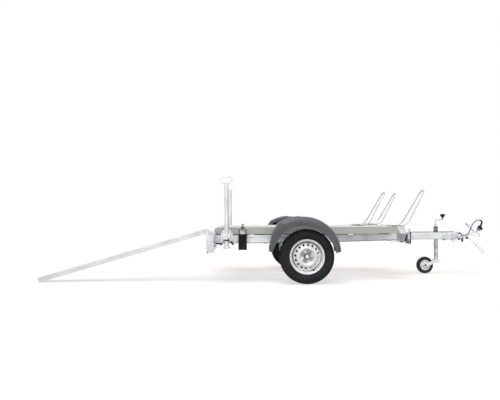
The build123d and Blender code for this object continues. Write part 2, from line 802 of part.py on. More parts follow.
stay_inset = 42            # bars lie this far inside the mudguard
stay_reach = 200
with BuildPart() as guard_stays:
    for side in SIDES.values():
        for end, (x, z, radius) in ((-1, guard_rear_arc), (1, guard_front_arc)):
            rise = asin((beam_low + beam_height / 2 - hub_z - z) / radius)
            normal = Vector(end * cos(rise), 0, sin(rise))
            seat = Vector(axle_x + x, side * beam_half, hub_z + z) + normal * (radius - stay_inset)
            with BuildSketch(Plane(seat, x_dir=(0, side, 0), z_dir=-normal)):
                with Locations((stay_reach / 2, 0)):
                    Rectangle(stay_reach, 46)
            extrude(amount=5)
            with BuildSketch(Plane(seat, x_dir=(0, side, 0), z_dir=normal)):
                with Locations((stay_reach - 40, 0)):
                    Rectangle(50, 30)
            extrude(amount=stay_inset - guard_sheet - 0.4)
write(guard_stays, "mudguard_stays")

# ---- wheel chocks on the side beams -------------------------------------------------
chock_low, chock_high = beam_low - chock_below, beam_top + chock_above
holder_low, holder_high = beam_low + holder_up, beam_top + holder_above
chock_back = beam_half + holder_sheet
knob_z = holder_high - 11
with BuildPart() as chocks:
    for side in SIDES.values():
        back, toe = side * chock_back, side * (chock_back + chock_reach)
        top = side * (chock_back + 26)
        with BuildSketch(upright(axle_x - chock_x)):
            with BuildLine():
                Polyline((toe, chock_low), (back, chock_low), (back, chock_high), (top, chock_high))
                ThreePointArc((top, chock_high), (side * (chock_back + 50), chock_low + chock_belly),
                              (toe, chock_low + 12))
                Line((toe, chock_low + 12), (toe, chock_low))
            make_face()
        extrude(amount=chock_half, both=True)
write(chocks, "wheel_chocks")

with BuildPart() as holders:
    for side in SIDES.values():
        with BuildSketch(sideways(side * beam_half, axle_x - chock_x)):
            with Locations((0, (holder_low + holder_high) / 2)):
                RectangleRounded(holder_width, holder_high - holder_low, 10)
        extrude(amount=-side * holder_sheet)
        ear_low, ear_high = chock_high + 2, holder_high - 18
        for edge in (-1, 1):
            ear_x = axle_x - chock_x + edge * (holder_width - holder_ear) / 2
            with BuildSketch(sideways(side * chock_back, ear_x)):
                with Locations((0, (ear_low + ear_high) / 2)):
                    Rectangle(holder_ear, ear_high - ear_low)
            extrude(amount=-side * 24)
write(holders, "chock_holders")

with BuildPart() as knobs:
    for side in SIDES.values():
        for start, radius, length in ((0, 9, 10), (10, 22, 18)):
            with BuildSketch(sideways(side * (chock_back + start), axle_x - chock_x, knob_z)):
                Circle(radius)
            extrude(amount=-side * length)
write(knobs, "chock_knobs")

# ---- lamp board, lamps and number plate ---------------------------------------------
panel_x = axle_x - board_x
with BuildPart() as board:
    with BuildSketch(upright(panel_x)):
        outline([(-rear_cross_half, rear_cross_low), (rear_cross_half, rear_cross_low),
                 (rear_cross_half, lamp_box_low), (lamp_box_inner, lamp_box_low),
                 (lamp_box_inner, board_low), (-lamp_box_inner, board_low),
                 (-lamp_box_inner, lamp_box_low), (-rear_cross_half, lamp_box_low)])
    extrude(amount=board_sheet)
    with BuildSketch(Plane.XY.offset(rear_cross_low - board_sheet)):
        with Locations((axle_x - (board_x + side_plate_rear) / 2, 0)):
            Rectangle(side_plate_rear - board_x, 2 * rear_cross_half)
    extrude(amount=board_sheet)
    for side in SIDES.values():
        with BuildSketch(sideways(side * rear_cross_half, axle_x)):
            outline([(-side_plate_rear, side_plate_high), (-side_plate_front, side_plate_high),
                     (-side_plate_front, gusset_high),
                     (gusset_reach - side_plate_front, gusset_tip),
                     (-side_plate_front - 3, side_plate_low), (-side_plate_rear, side_plate_low)])
        extrude(amount=-side * side_plate)
write(board, "lamp_board")

with BuildPart() as lamps:
    for side in SIDES.values():
        with BuildSketch(upright(panel_x, side * (rear_cross_half - lamp_in),
                                 lamp_box_low + lamp_up)):
            RectangleRounded(lamp_width, lamp_height, 12)
        extrude(amount=-lamp_depth)
write(lamps, "tail_lamps")

with BuildPart() as plate:
    with BuildSketch(upright(panel_x, 0, (board_low + rear_cross_low - board_sheet) / 2)):
        RectangleRounded(plate_width, plate_height, 10)
    extrude(amount=-3)
write(plate, "number_plate")

# ---- jockey wheel -------------------------------------------------------------------
post = (axle_x + jockey_x, jockey_y)
with BuildPart() as jockey_clamp:
    with BuildSketch(Plane.XY.offset(drawbar_z - 25)):
        with Locations(post):
            Circle(jockey_tube + 9)
        with Locations((post[0], (drawbar / 2 + jockey_y) / 2)):
            Rectangle(46, jockey_y - drawbar / 2)
    extrude(amount=50)
    rod((*post, drawbar_z), (post[0], jockey_y + jockey_tube + 40, drawbar_z), 7)
    rod((post[0] - 45, jockey_y + jockey_tube + 34, drawbar_z),
        (post[0] + 45, jockey_y + jockey_tube + 34, drawbar_z), 5)
    with BuildSketch(Plane.XY.offset(drawbar_z - 25)):
        with Locations(post):
            Circle(jockey_tube + jockey_play)
    extrude(amount=50, mode=Mode.SUBTRACT)
write(jockey_clamp, "jockey_clamp")

with BuildPart() as jockey_outer:
    with BuildSketch(Plane.XY.offset(jockey_low + 2)):
        with Locations(post):
            Circle(jockey_tube)
            Circle(jockey_tube - jockey_wall, mode=Mode.SUBTRACT)
    extrude(amount=jockey_top - jockey_low - 2)
write(jockey_outer, "jockey_outer_tube")

cap_top = jockey_top + 10
crank_z, crank_arm = 640, 86
with BuildPart() as crank_cap:
    with BuildSketch(Plane.XY.offset(jockey_top)):
        with Locations(post):
            Circle(jockey_tube + 1)
    extrude(amount=cap_top - jockey_top)
write(crank_cap, "jockey_cap")

with BuildPart() as crank:
    with BuildLine() as bar:
        FilletPolyline((*post, cap_top), (*post, crank_z), (post[0] + crank_arm, jockey_y, crank_z + 2),
                       (post[0] + crank_arm, jockey_y, crank_z + 20), radius=13)
    with BuildSketch(Plane.XY.offset(cap_top)):
        with Locations(post):
            Circle(6)
    sweep(path=bar.line)
    with BuildSketch(Plane.XY.offset(cap_top)):
        with Locations(post):
            Circle(11)
    extrude(amount=30)
write(crank, "jockey_crank")

with BuildPart() as knob:
    knob_x, knob_z = post[0] + crank_arm, crank_z + 20
    with BuildSketch(upright(knob_x, jockey_y, knob_z)):
        outline([(0, 0), (9, 0), (13, 14), (25, 28), (27, 42), (20, 48), (0, 48)])
    revolve(axis=Axis((knob_x, jockey_y, 0), (0, 0, 1)))
write(knob, "jockey_knob")

hub = (post[0] - jockey_trail, jockey_wheel_radius)
plate_in = jockey_wheel_width / 2 + fork_gap
with BuildPart() as fork:
    with BuildSketch(Plane.XY.offset(jockey_low - 10)):
        with Locations(post):
            Circle(jockey_tube - jockey_wall - jockey_play)
            Circle(jockey_tube - jockey_wall - 3, mode=Mode.SUBTRACT)
    extrude(amount=260)
    with BuildSketch(Plane.XY.offset(jockey_low - 10)):
        with Locations((post[0], jockey_y)):
            Rectangle(52, 2 * (plate_in + fork_sheet))
    extrude(amount=10)
    for side in SIDES.values():
        with BuildSketch(sideways(jockey_y + side * plate_in)):
            with Locations(hub):
                Circle(23)
            outline([(hub[0] + 4, hub[1] + 22), (post[0] - 26, jockey_low), (post[0] + 26, jockey_low),
                     (post[0] + 26, jockey_low - fork_depth),
                     (post[0] - 20, jockey_low - fork_depth), (hub[0] + 4, hub[1] - 22)])
        extrude(amount=-side * fork_sheet)
    with BuildSketch(sideways(jockey_y, *hub)):
        Circle(axle_pin)
    extrude(amount=plate_in + fork_sheet + 4, both=True)
write(fork, "jockey_fork")

with BuildPart() as jockey_rim_part:
    bore = axle_pin + jockey_play
    with BuildSketch(upright(hub[0], jockey_y, hub[1])):
        outline([(-28, bore), (-28, 14), (-12, 16), (-12, 44), (-22, 52), (-22, jockey_rim),
                 (22, jockey_rim), (22, 52), (12, 44), (12, 16), (28, 14), (28, bore)])
    revolve(axis=Axis((hub[0], 0, hub[1]), (0, 1, 0)))
write(jockey_rim_part, "jockey_wheel")

with BuildPart() as jockey_tyre:
    half = jockey_wheel_width / 2
    shoulder = jockey_wheel_radius - 20
    with BuildSketch(upright(hub[0], jockey_y, hub[1])):
        with BuildLine():
            Polyline((-half, shoulder), (-22, jockey_rim), (22, jockey_rim), (half, shoulder))
            ThreePointArc((half, shoulder), (0, jockey_wheel_radius), (-half, shoulder))
        make_face()
    revolve(axis=Axis((hub[0], 0, hub[1]), (0, 1, 0)))
write(jockey_tyre, "jockey_tyre")


# ---- cables -------------------------------------------------------------------------
def cable(points, radius, label):
    """Round cable through hand-set points: runs joined by arcs as large as they allow."""
    points = [Vector(*p) for p in points]
    radii = []
    for before, here, after in zip(points, points[1:], points[2:]):
        turn = radians((here - before).get_angle(after - here))
        shorter = min((here - before).length, (after - here).length)
        radii.append(0.45 * shorter / tan(turn / 2))
    with BuildPart() as tube:
        with BuildLine() as route:
            FilletPolyline(*points, radius=radii)
        with BuildSketch(Plane(points[0], z_dir=points[1] - points[0])):
            Circle(radius)
        sweep(path=route.line)
    length = sum(edge.length for edge in route.line.edges())
    print(label, "length", round(length, 1), "radii", [round(r) for r in radii],
          "volume ratio", round(tube.part.volume / (pi * radius ** 2 * length), 4))
    write(tube, label)
    return tube


lead_radius = 4
lamp_lead = [(-board_x + board_sheet + 1.4, -19), (-board_x + 40, -9),
             (-side_plate_front + 35, -7), (-side_plate_front + 70, -12),
             (-side_plate_front + 92, -lead_radius - 0.3)]
with BuildPart() as frame_cables:
    top = drawbar_z + drawbar / 2 + 2 + lead_radius + 0.5
    rod((axle_x + bracket_front + bracket_sheet, -22, top),
        (axle_x + housing_front - 20, -22, top), lead_radius)
    for side in SIDES.values():
        route = [(axle_x + along, side * (beam_half - 15), beam_low + up) for along, up in lamp_lead]
        with BuildLine() as lead:
            FilletPolyline(*route, radius=[40, 60, 50])
        with BuildSketch(Plane(route[0], z_dir=Vector(*route[1]) - Vector(*route[0]))):
            Circle(lead_radius)
        sweep(path=lead.line)
write(frame_cables, "frame_cables")

clip_x = axle_x + housing_front
with BuildPart() as clip:
    with BuildSketch(sideways(-housing_half)):
        outline([(clip_x - 18, 487), (clip_x + 2, 500), (clip_x + 16, 500), (clip_x + 26, 484),
                 (clip_x + 62, 428), (clip_x + 50, 412), (clip_x + 38, 418), (clip_x - 18, 470)])
    extrude(amount=4)
write(clip, "cable_bracket")

cable_y = -housing_half - 8
plug_top = (ball_x + 42, -30, 572)
cable([(clip_x + 26, cable_y, 487), (clip_x + 75, cable_y, 450), (clip_x + 134, cable_y - 2, 462),
       (clip_x + 164, cable_y - 4, 558), (clip_x + 200, cable_y, 618),
       (clip_x + 232, cable_y + 6, 646), (clip_x + 268, cable_y + 11, 658),
       (clip_x + 300, cable_y + 16, 642), (clip_x + 314, -32, 609), plug_top], 4,
      "lighting_cable")

# plug, parked in its holder beside the coupling handle
plug_down = Vector(-0.5, 0, -0.866).normalized()
plug_plane = Plane(Vector(*plug_top), x_dir=(0, 1, 0), z_dir=plug_down)
plug_radius, plug_length = 20, 60
with BuildPart() as plug:
    with BuildSketch(plug_plane):
        Circle(11)
    with BuildSketch(plug_plane.offset(14)):
        Circle(plug_radius)
    loft()
    with BuildSketch(plug_plane.offset(14)):
        Circle(plug_radius)
    extrude(amount=plug_length - 14)
    front = Vector(*plug_top) + plug_down * 34
    ahead = Vector(0.866, 0, -0.5)
    rod(tuple(front + ahead * 14), tuple(front + ahead * 36), 12)
write(plug, "plug")

holder_plane = plug_plane.offset(plug_length - 12)
with BuildPart() as plug_holder:
    with BuildSketch(holder_plane):
        Circle(plug_radius + 2.8)
    extrude(amount=18)
    with BuildSketch(holder_plane):
        Circle(plug_radius + 0.3)
    extrude(amount=12, mode=Mode.SUBTRACT)
    holder_end = Vector(*plug_top) + plug_down * (plug_length + 3)
    rod(tuple(holder_end), (handle_base[0] + 14, -16, head_high + 5), 5)
    with BuildSketch(Plane.XY.offset(head_high)):
        with Locations((handle_base[0], 0)):
            Rectangle(44, 36)
    extrude(amount=12, mode=Mode.SUBTRACT)
write(plug_holder, "plug_holder")

# breakaway cable, beside the socket: grommet under the head, wire, and the long spring hook
grommet_x = ball_x - 115
with BuildPart() as grommet:
    with BuildSketch(sideways(0, grommet_x, head_low - 12)):
        RectangleRounded(26, 24, 8)
    extrude(amount=12, both=True)
write(grommet, "cable_grommet")

wire_start = (grommet_x + 13, -6, head_low - 14)
wire_end = (grommet_x + 85, -34, 349)
cable([wire_start, (grommet_x + 36, -13, 408), (grommet_x + 58, -24, 381), wire_end], 2,
      "breakaway_cable")

hook_along = Vector(wire_end[0] - grommet_x - 58, 0, wire_end[2] - 381).normalized()
hook_plane = Plane(Vector(*wire_end), x_dir=hook_along, z_dir=(0, -1, 0))
hook_length, hook_width, hook_wire = 138, 26, 2
with BuildPart() as hook:
    rod(wire_end, tuple(Vector(*wire_end) + hook_along * 18), 4)
    with BuildLine(hook_plane) as loop:
        FilletPolyline((12, 0), (hook_length, -3), (hook_length, hook_width - 3), (40, hook_width - 6),
                       radius=11)
    with BuildSketch(loop.line ^ 0):
        Circle(hook_wire)
    sweep(path=loop.line)
write(hook, "breakaway_hook")
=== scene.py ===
import json
import math
import bmesh
import bpy
import numpy as np
from mathutils import Matrix, Vector


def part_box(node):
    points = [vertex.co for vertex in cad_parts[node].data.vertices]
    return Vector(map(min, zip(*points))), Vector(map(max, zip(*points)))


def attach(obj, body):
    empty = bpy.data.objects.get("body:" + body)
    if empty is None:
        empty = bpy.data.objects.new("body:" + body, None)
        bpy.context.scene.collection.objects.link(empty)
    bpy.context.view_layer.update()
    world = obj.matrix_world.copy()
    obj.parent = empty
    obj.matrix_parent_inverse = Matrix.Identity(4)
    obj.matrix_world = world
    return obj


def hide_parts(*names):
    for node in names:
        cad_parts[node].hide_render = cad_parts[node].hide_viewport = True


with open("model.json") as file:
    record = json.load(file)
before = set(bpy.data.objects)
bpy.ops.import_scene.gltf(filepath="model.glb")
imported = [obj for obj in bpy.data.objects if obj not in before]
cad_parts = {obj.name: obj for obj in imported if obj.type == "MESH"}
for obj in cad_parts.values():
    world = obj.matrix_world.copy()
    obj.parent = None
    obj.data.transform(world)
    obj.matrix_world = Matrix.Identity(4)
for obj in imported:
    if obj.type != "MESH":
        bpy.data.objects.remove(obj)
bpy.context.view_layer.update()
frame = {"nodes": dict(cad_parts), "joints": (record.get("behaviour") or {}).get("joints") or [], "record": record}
print("frame loaded with", len(frame["nodes"]), "nodes")

# pieces are drawn in millimetres and become metres as their mesh is written
mm = 0.001
joints = {joint["name"]: joint for joint in frame["joints"]}
sides = {"right": -1, "left": 1}
axleX, trackHalf, hubZ = (value / mm for value in joints["wheel_left_spin"]["pos_m"])
alongX, alongY, alongZ = np.eye(3)


def srgb(colour):
    # a colour as it looks on screen, 0 to 255, in the linear values that shaders take
    levels = [value / 255 for value in colour]
    return (*[v / 12.92 if v <= 0.04045 else ((v + 0.055) / 1.055) ** 2.4 for v in levels], 1)


def camel(words):
    # a name written with _ in the form that finishes have
    first, *rest = words.split("_")
    return first + "".join(word.capitalize() for word in rest)


def setUp(thing, **values):
    # gives a node, curve, modifier or light its settings
    for key, value in values.items():
        setattr(thing, key, value)
    return thing


def placed(name, data):
    # a new object in the scene
    piece = bpy.data.objects.new(name, data)
    bpy.context.scene.collection.objects.link(piece)
    return piece


class Wire:
    # an output of a shader node; sums on it add Math nodes
    def __init__(self, graph, node, out=0):
        self.graph, self.node = graph, node
        self.socket = node.outputs[out] if node.outputs else None

    def of(self, out):
        return Wire(self.graph, self.node, out)

    def math(self, operation, *terms):
        return self.graph.add("ShaderNodeMath", {"operation": operation}, dict(enumerate(terms)))

    def __add__(self, other):
        return self.math("ADD", self, other)

    def __sub__(self, other):
        return self.math("SUBTRACT", self, other)

    def __rsub__(self, other):
        return self.math("SUBTRACT", other, self)

    def __mul__(self, other):
        return self.math("MULTIPLY", self, other)

    def __gt__(self, other):
        return self.math("GREATER_THAN", self, other)

    __radd__, __rmul__ = __add__, __mul__

    def smooth(self, low, high):
        # 0 below low, 1 above high, with a soft step between
        return self.graph.add("ShaderNodeMapRange", {"interpolation_type": "SMOOTHSTEP"},
                              {"Value": self, "From Min": low, "From Max": high})


class Graph:
    # the shader nodes of a material or of the world
    def __init__(self, owner):
        owner.use_nodes = True
        self.owner, self.tree = owner, owner.node_tree
        self.tree.nodes.clear()

    def add(self, kind, settings=None, sockets=None, out=0):
        node = setUp(self.tree.nodes.new(kind), **(settings or {}))
        for key, value in (sockets or {}).items():
            if isinstance(value, Wire):
                self.tree.links.new(value.socket, node.inputs[key])
            else:
                node.inputs[key].default_value = value
        return Wire(self, node, out)

    def here(self, scale=(1, 1, 1)):
        # object coordinates, times a scale on each axis
        place = self.add("ShaderNodeTexCoord", out="Object")
        return self.add("ShaderNodeMapping", {"vector_type": "TEXTURE"},
                        {"Vector": place, "Scale": [1 / value for value in scale]})

    def noise(self, vector, scale, detail, roughness=0.5):
        return self.add("ShaderNodeTexNoise", {}, {"Vector": vector, "Scale": scale,
                                                   "Detail": detail, "Roughness": roughness})

    def cells(self, vector, scale, feature="F1", out="Distance"):
        return self.add("ShaderNodeTexVoronoi", {"feature": feature},
                        {"Vector": vector, "Scale": scale}, out)

    def mix(self, share, first, second):
        return self.add("ShaderNodeMix", {"data_type": "RGBA"}, {0: share, 6: first, 7: second}, 2)

    def bump(self, height, strength, distance):
        return self.add("ShaderNodeBump", {}, {"Height": height, "Strength": strength,
                                               "Distance": distance})

    def finish(self, **sockets):
        # the surface itself; the sockets' names have _ for a space
        named = {key.replace("_", " "): value for key, value in sockets.items()}
        shader = self.add("ShaderNodeBsdfPrincipled", {}, named)
        self.add("ShaderNodeOutputMaterial", {}, {"Surface": shader})
        return self.owner


# zinc and other metal, in the order of zincKeys: light and dark colour, crystals, stains and
# streaks to a metre, how far the crystals show, metallic, roughness and relief
zincKeys = "light dark crystals stains streaks spangle metallic rough relief".split()
zincLooks = {
    "galvanisedFrame": ((242, 243, 243), (212, 215, 217), 55, 6, (3, 30, 30), 0.25, 0.25, 0.48, 0.35),
    "galvanisedRail": ((242, 242, 241), (226, 227, 226), 90, 3, (1.5, 40, 60), 0.15, 0.25, 0.5, 0.25),
    "hoopSteel": ((200, 201, 202), (160, 162, 164), 120, 9, (6, 6, 6), 0.2, 0.55, 0.42, 0.2),
    "castCoupling": ((236, 238, 240), (192, 196, 202), 260, 22, (40, 40, 40), 0.4, 0.35, 0.55, 0.8),
    "swingArmSteel": ((150, 153, 156), (96, 99, 103), 140, 12, (20, 20, 20), 0.3, 0.5, 0.55, 0.6),
    "jockeyZinc": ((216, 218, 220), (160, 164, 168), 110, 14, (60, 60, 4), 0.3, 0.6, 0.36, 0.25),
    "rampAluminium": ((224, 225, 224), (200, 202, 201), 30, 4, (2, 120, 120), 0.08, 0.5, 0.42, 0.25),
    "wheelSilver": ((246, 247, 248), (216, 218, 221), 400, 10, (9, 9, 9), 0.1, 0.12, 0.4, 0.15),
    "brakeIron": ((64, 62, 60), (30, 30, 31), 200, 14, (20, 20, 20), 0.2, 0.3, 0.7, 0.6),
    "freshZinc": ((247, 248, 248), (226, 228, 230), 70, 8, (20, 20, 20), 0.3, 0.25, 0.5, 0.3),
    # dull zinc, and the painted shade of the dark strips at and under the rails
    "darkZinc": ((126, 128, 130), (78, 80, 82), 90, 12, (30, 30, 30), 0.3, 0.4, 0.5, 0.4),
    "steelWire": ((146, 148, 150), (96, 99, 103), 300, 30, (90, 90, 90), 0.2, 0.8, 0.35, 0.3),
    "boltZinc": ((176, 178, 178), (112, 114, 116), 400, 60, (80, 80, 80), 0.3, 0.75, 0.34, 0.3),
}
# the rails' outer walls, beyond that reach from their rail's middle, take a darker painted shade
railWallShade = {"spacing": 455, "reach": 127.2, "shade": (176, 176, 172)}


def zinc(name, row):
    # crystals in patches, drawn streaks and stains darken the colour and roughen it; crystals,
    # streaks and a fine grain stand in its relief
    look = dict(zip(zincKeys, row))
    graph = Graph(bpy.data.materials.new(name))
    here = graph.here()
    crystal = graph.add("ShaderNodeSeparateColor", {},
                        {0: graph.cells(here, look["crystals"], out="Color")}, "Red")
    stain = graph.noise(here, look["stains"], 4, 0.6).smooth(0.35, 0.7)
    streak = graph.noise(graph.here(look["streaks"]), 1, 4, 0.6)
    grain = graph.noise(here, 900, 2)
    share = stain * 0.45 + crystal * look["spangle"] + streak * 0.35
    colour = graph.mix(share.smooth(0.1, 0.9), srgb(look["light"]), srgb(look["dark"]))
    # painted shade: the rail's outer walls take a darker colour
    if name == "galvanisedRail":
        beside = graph.add("ShaderNodeSeparateXYZ", {}, {0: here}, "Y")
        beside = beside.math("PINGPONG", beside, railWallShade["spacing"] * mm / 2)
        colour = graph.mix(beside > railWallShade["reach"] * mm, colour, srgb(railWallShade["shade"]))
    rough = look["rough"] + crystal * 0.1 + stain * 0.12 + streak * 0.06 - 0.12
    height = crystal * 0.25 + streak * 0.5 + grain * 0.35
    return graph.finish(Base_Color=colour, Metallic=look["metallic"], Roughness=rough,
                        Normal=graph.bump(height, look["relief"], 0.0006))


# plastic and rubber, in the order of plasticKeys: light and dark colour, drift and grain to a
# metre, roughness, relief, shine and clear coat
plasticKeys = "light dark drift grain rough relief shine coat".split()
plasticLooks = {
    "mudguardPlastic": ((86, 87, 91), (70, 71, 75), 5, 420, 0.46, 0.35, 0.5, 0),
    "chockPlastic": ((34, 34, 36), (18, 18, 20), 14, 500, 0.6, 0.4, 0.1, 0),
    # painted shade: the mudguards' inner faces are near black
    "guardInside": ((26, 26, 27), (14, 14, 15), 9, 300, 0.85, 0.3, 0.05, 0),
    # black of the lead's gland, and painted shade in the front bracket's gaps
    "slotBlack": ((16, 16, 17), (7, 7, 8), 20, 600, 0.8, 0.2, 0.05, 0),
    "blackPlastic": ((40, 40, 42), (20, 20, 22), 25, 800, 0.45, 0.25, 0.2, 0),
    "tyreRubber": ((52, 52, 55), (34, 34, 37), 9, 700, 0.72, 0.35, 0.12, 0),
    "jockeyRubber": ((44, 44, 46), (24, 24, 26), 16, 700, 0.65, 0.3, 0.35, 0),
    "cableSheath": ((38, 38, 40), (18, 18, 20), 40, 1200, 0.5, 0.2, 0.15, 0),
    "holderBlue": ((164, 163, 216), (122, 121, 190), 30, 700, 0.4, 0.2, 0.35, 0),
    "blankPlate": ((238, 238, 234), (226, 226, 222), 9, 900, 0.35, 0.1, 0.35, 0),
    "knobGrey": ((128, 125, 132), (92, 89, 97), 30, 700, 0.35, 0.2, 0.35, 0),
    "gripGrey": ((238, 239, 241), (206, 208, 212), 30, 700, 0.45, 0.2, 0.35, 0),
    "lampRed": ((190, 22, 20), (150, 8, 10), 12, 300, 0.12, 0.4, 0.35, 0.6),
    "lampAmber": ((232, 128, 20), (206, 96, 8), 12, 300, 0.12, 0.4, 0.35, 0.6),
    "lampClear": ((238, 238, 234), (214, 215, 212), 12, 300, 0.12, 0.4, 0.35, 0.6),
}


def plastic(name, row):
    # a leather grain in the relief, and the colour drifts from dark to a duller light
    look = dict(zip(plasticKeys, row))
    graph = Graph(bpy.data.materials.new(name))
    here = graph.here()
    drift = graph.noise(here, look["drift"], 4, 0.6).smooth(0.3, 0.75)
    grain = graph.cells(here, look["grain"], "SMOOTH_F1")
    fine = graph.noise(here, look["grain"] * 1.7, 2)
    colour = graph.mix(drift, srgb(look["dark"]), srgb(look["light"]))
    rough = look["rough"] + drift * 0.1 - grain * 0.08
    return graph.finish(Base_Color=colour, Roughness=rough, Coat_Weight=look["coat"],
                        Specular_IOR_Level=look["shine"],
                        Normal=graph.bump(grain * 0.7 + fine * 0.3, look["relief"], 0.0005))


finishes = {name: zinc(name, row) for name, row in zincLooks.items()}
finishes.update({name: plastic(name, row) for name, row in plasticLooks.items()})

# CAD pieces whose zinc is newer or duller than their slot's
ownFinish = {"castCoupling": ["cable_bracket"],
             "darkZinc": ["overrun_lever", "guide_ring", "breakaway_hook"],
             "freshZinc": ["jockey_fork", "rear_crossmember", "stand_clamps", "stand_right",
                           "stand_left", "hoop_clamps", "coupling_head", "coupling_handle"]}
finishOf = {node: finish for finish, nodes in ownFinish.items() for node in nodes}
for row in frame["record"]["subparts"]:
    target = frame["nodes"][row["node"]]
    target.data.materials.clear()
    finish = finishOf.get(row["node"], camel(row["material_slot"]))
    target.data.materials.append(finishes[finish])
print("finishes on the frame:", len(finishes))


# free cords: the points of their routes, in metres
cords = {
    "lightingLead": {"node": "lighting_cable", "radius": 0.005, "length": 0.455,
                     "finish": "cableSheath", "slot": "cable_sheath"},
    "breakawayWire": {"node": "breakaway_cable", "radius": 0.002, "length": 0.107,
                      "finish": "steelWire", "slot": "steel_wire"},
}


def cordLine(name, points):
    # smooth line through a cord's control points, as thick as the cord
    look = cords[name]
    curve = setUp(bpy.data.curves.new(name, "CURVE"), dimensions="3D",
                  bevel_depth=look["radius"], bevel_resolution=5, use_fill_caps=True)
    spline = curve.splines.new("NURBS")
    spline.points.add(len(points) - 1)
    for point, place in zip(spline.points, points):
        point.co = (*place, 1)
    setUp(spline, order_u=3, use_endpoint_u=True, resolution_u=16)
    curve.materials.append(finishes[look["finish"]])
    piece = placed(name, curve)
    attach(piece, "chassis")
    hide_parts(look["node"])
    return piece


clipX = axleX * mm + 1.860
ballX = axleX * mm + 2.113
grommetX = ballX - 0.115
leadPoints = [(clipX + 0.026, -0.052, 0.487), (clipX + 0.075, -0.052, 0.450),
              (clipX + 0.134, -0.054, 0.463), (clipX + 0.163, -0.056, 0.548),
              (clipX + 0.196, -0.052, 0.599), (clipX + 0.230, -0.046, 0.627),
              (clipX + 0.266, -0.041, 0.637), (clipX + 0.297, -0.036, 0.629),
              (clipX + 0.309, -0.032, 0.604), (ballX + 0.042, -0.030, 0.572)]
lead = cordLine("lightingLead", leadPoints)

wirePoints = [(grommetX + 0.013, -0.006, 0.422), (grommetX + 0.036, -0.013, 0.408),
              (grommetX + 0.058, -0.024, 0.381), (grommetX + 0.085, -0.034, 0.349)]
wire = cordLine("breakawayWire", wirePoints)
print("cords laid")


def boxOf(node):
    # lowest corner, highest corner and middle of a node, in millimetres
    low, high = np.array([list(corner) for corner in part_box(node)]) / mm
    return low, high, (low + high) / 2


def unit(vectors):
    # vectors divided by their lengths
    vectors = np.asarray(vectors, float)
    return vectors / np.linalg.norm(vectors, axis=-1, keepdims=True)


def squareTo(axis):
    # the axis as a unit vector, and two more square to it
    w = unit(axis)
    u = unit(np.cross(w, alongZ if abs(w[2]) < 0.9 else alongX))
    return w, u, np.cross(w, u)


def rounded(points, reach, steps=4, closed=False):
    # a line with its corners eased: a parabola begins and ends reach away from each corner,
    # or at the middle of a shorter run
    points = np.asarray(points, float)
    if closed:
        points = np.vstack([points[-1:], points, points[:1]])
    corners = points[1:-1]
    share = np.linspace(0, 1, steps + 1)[:, None]

    def cut(others):
        run = others - corners
        length = np.maximum(np.linalg.norm(run, axis=-1, keepdims=True), 1e-9)
        return (corners + run * np.minimum(reach / length, 0.5))[:, None]

    curve = ((1 - share) ** 2 * cut(points[:-2]) + 2 * share * (1 - share) * corners[:, None]
             + share ** 2 * cut(points[2:])).reshape(-1, points.shape[1])
    return curve if closed else np.vstack([points[:1], curve, points[-1:]])


def arcThrough(start, middle, end, steps):
    # points of a plane on the circle through three of them
    a, b, c = (complex(*point) for point in (start, middle, end))
    w = (c - a) / (b - a)
    centre = a - (a - b) * (w - abs(w) ** 2) / (2j * w.imag)
    first, half, last = np.unwrap(np.angle([a - centre, b - centre, c - centre]))
    turn = np.linspace(first, last, steps)
    arc = centre + abs(a - centre) * np.exp(1j * turn)
    return np.stack([arc.real, arc.imag], -1)


def ring(count, across, up=None, phase=0.0):
    # points spaced evenly round a circle, or round an ellipse
    turn = np.arange(count) / count * 2 * np.pi + phase
    return np.stack([across * np.cos(turn), (up or across) * np.sin(turn)], -1)


def oblong(width, height, corner):
    # a rectangle about its middle with round corners
    x, y = width / 2, height / 2
    return rounded([(-x, -y), (x, -y), (x, y), (-x, y)], corner, 5, closed=True)


def strip(start, end, low, high):
    # a rectangle's corners, in turn
    return [(start, low), (end, low), (end, high), (start, high)]


def skin(grid, closeRows=False, closeColumns=False, caps=False):
    # a grid of points as a surface of quads; caps close its first and last row
    rows, columns = grid.shape[:2]
    row = np.arange(rows if closeRows else rows - 1)[:, None]
    column = np.arange(columns if closeColumns else columns - 1)
    nextRow, nextColumn = (row + 1) % rows * columns, (column + 1) % columns
    row = row * columns
    faces = [np.stack([row + column, nextRow + column, nextRow + nextColumn, row + nextColumn],
                      -1).reshape(-1, 4)]
    if caps:
        faces.append(np.arange(columns) + np.array([[0], [(rows - 1) * columns]]))
    return grid.reshape(-1, 3), faces


def turned(profile, centre, axis=alongY, steps=48, closed=True):
    # (radius, distance along the axis) pairs swept round the axis through the centre
    radius, along = np.asarray(profile, float).T
    w, u, v = squareTo(axis)
    turn = (np.arange(steps) / steps * 2 * np.pi)[:, None, None]
    circle = np.cos(turn) * u + np.sin(turn) * v
    grid = np.asarray(centre) + radius[None, :, None] * circle + along[None, :, None] * w
    return skin(grid, closeRows=True, closeColumns=closed)


def lobed(profile, centre, axis, lobes, depth, steps=96):
    # a turned profile whose radius swells and shrinks round the axis, as on a star knob
    points, faces = turned(profile, centre, axis, steps)
    w = unit(axis)
    off = points - np.asarray(centre)
    flat = off - (off @ w)[:, None] * w
    turn = np.repeat(np.arange(steps) / steps * 2 * np.pi, len(profile))
    share = np.linalg.norm(flat, axis=1) / max(radius for radius, along in profile)
    return points - flat * (depth * share * (0.5 - 0.5 * np.cos(lobes * turn)))[:, None], faces


def stacked(outline, levels, origin, across, up, out):
    # a flat outline, drawn along across and up, once for each level: an inset and a reach out
    outline = np.asarray(outline, float)
    middle = (outline.max(axis=0) + outline.min(axis=0)) / 2
    half = np.ptp(outline, axis=0) / 2
    loops = []
    for inset, reach in levels:
        loop = middle + (outline - middle) * (1 - inset / half)
        loops.append(np.asarray(origin) + loop[:, :1] * np.asarray(across)
                     + loop[:, 1:] * np.asarray(up) + reach * np.asarray(out))
    return skin(np.stack(loops), closeColumns=True, caps=True)


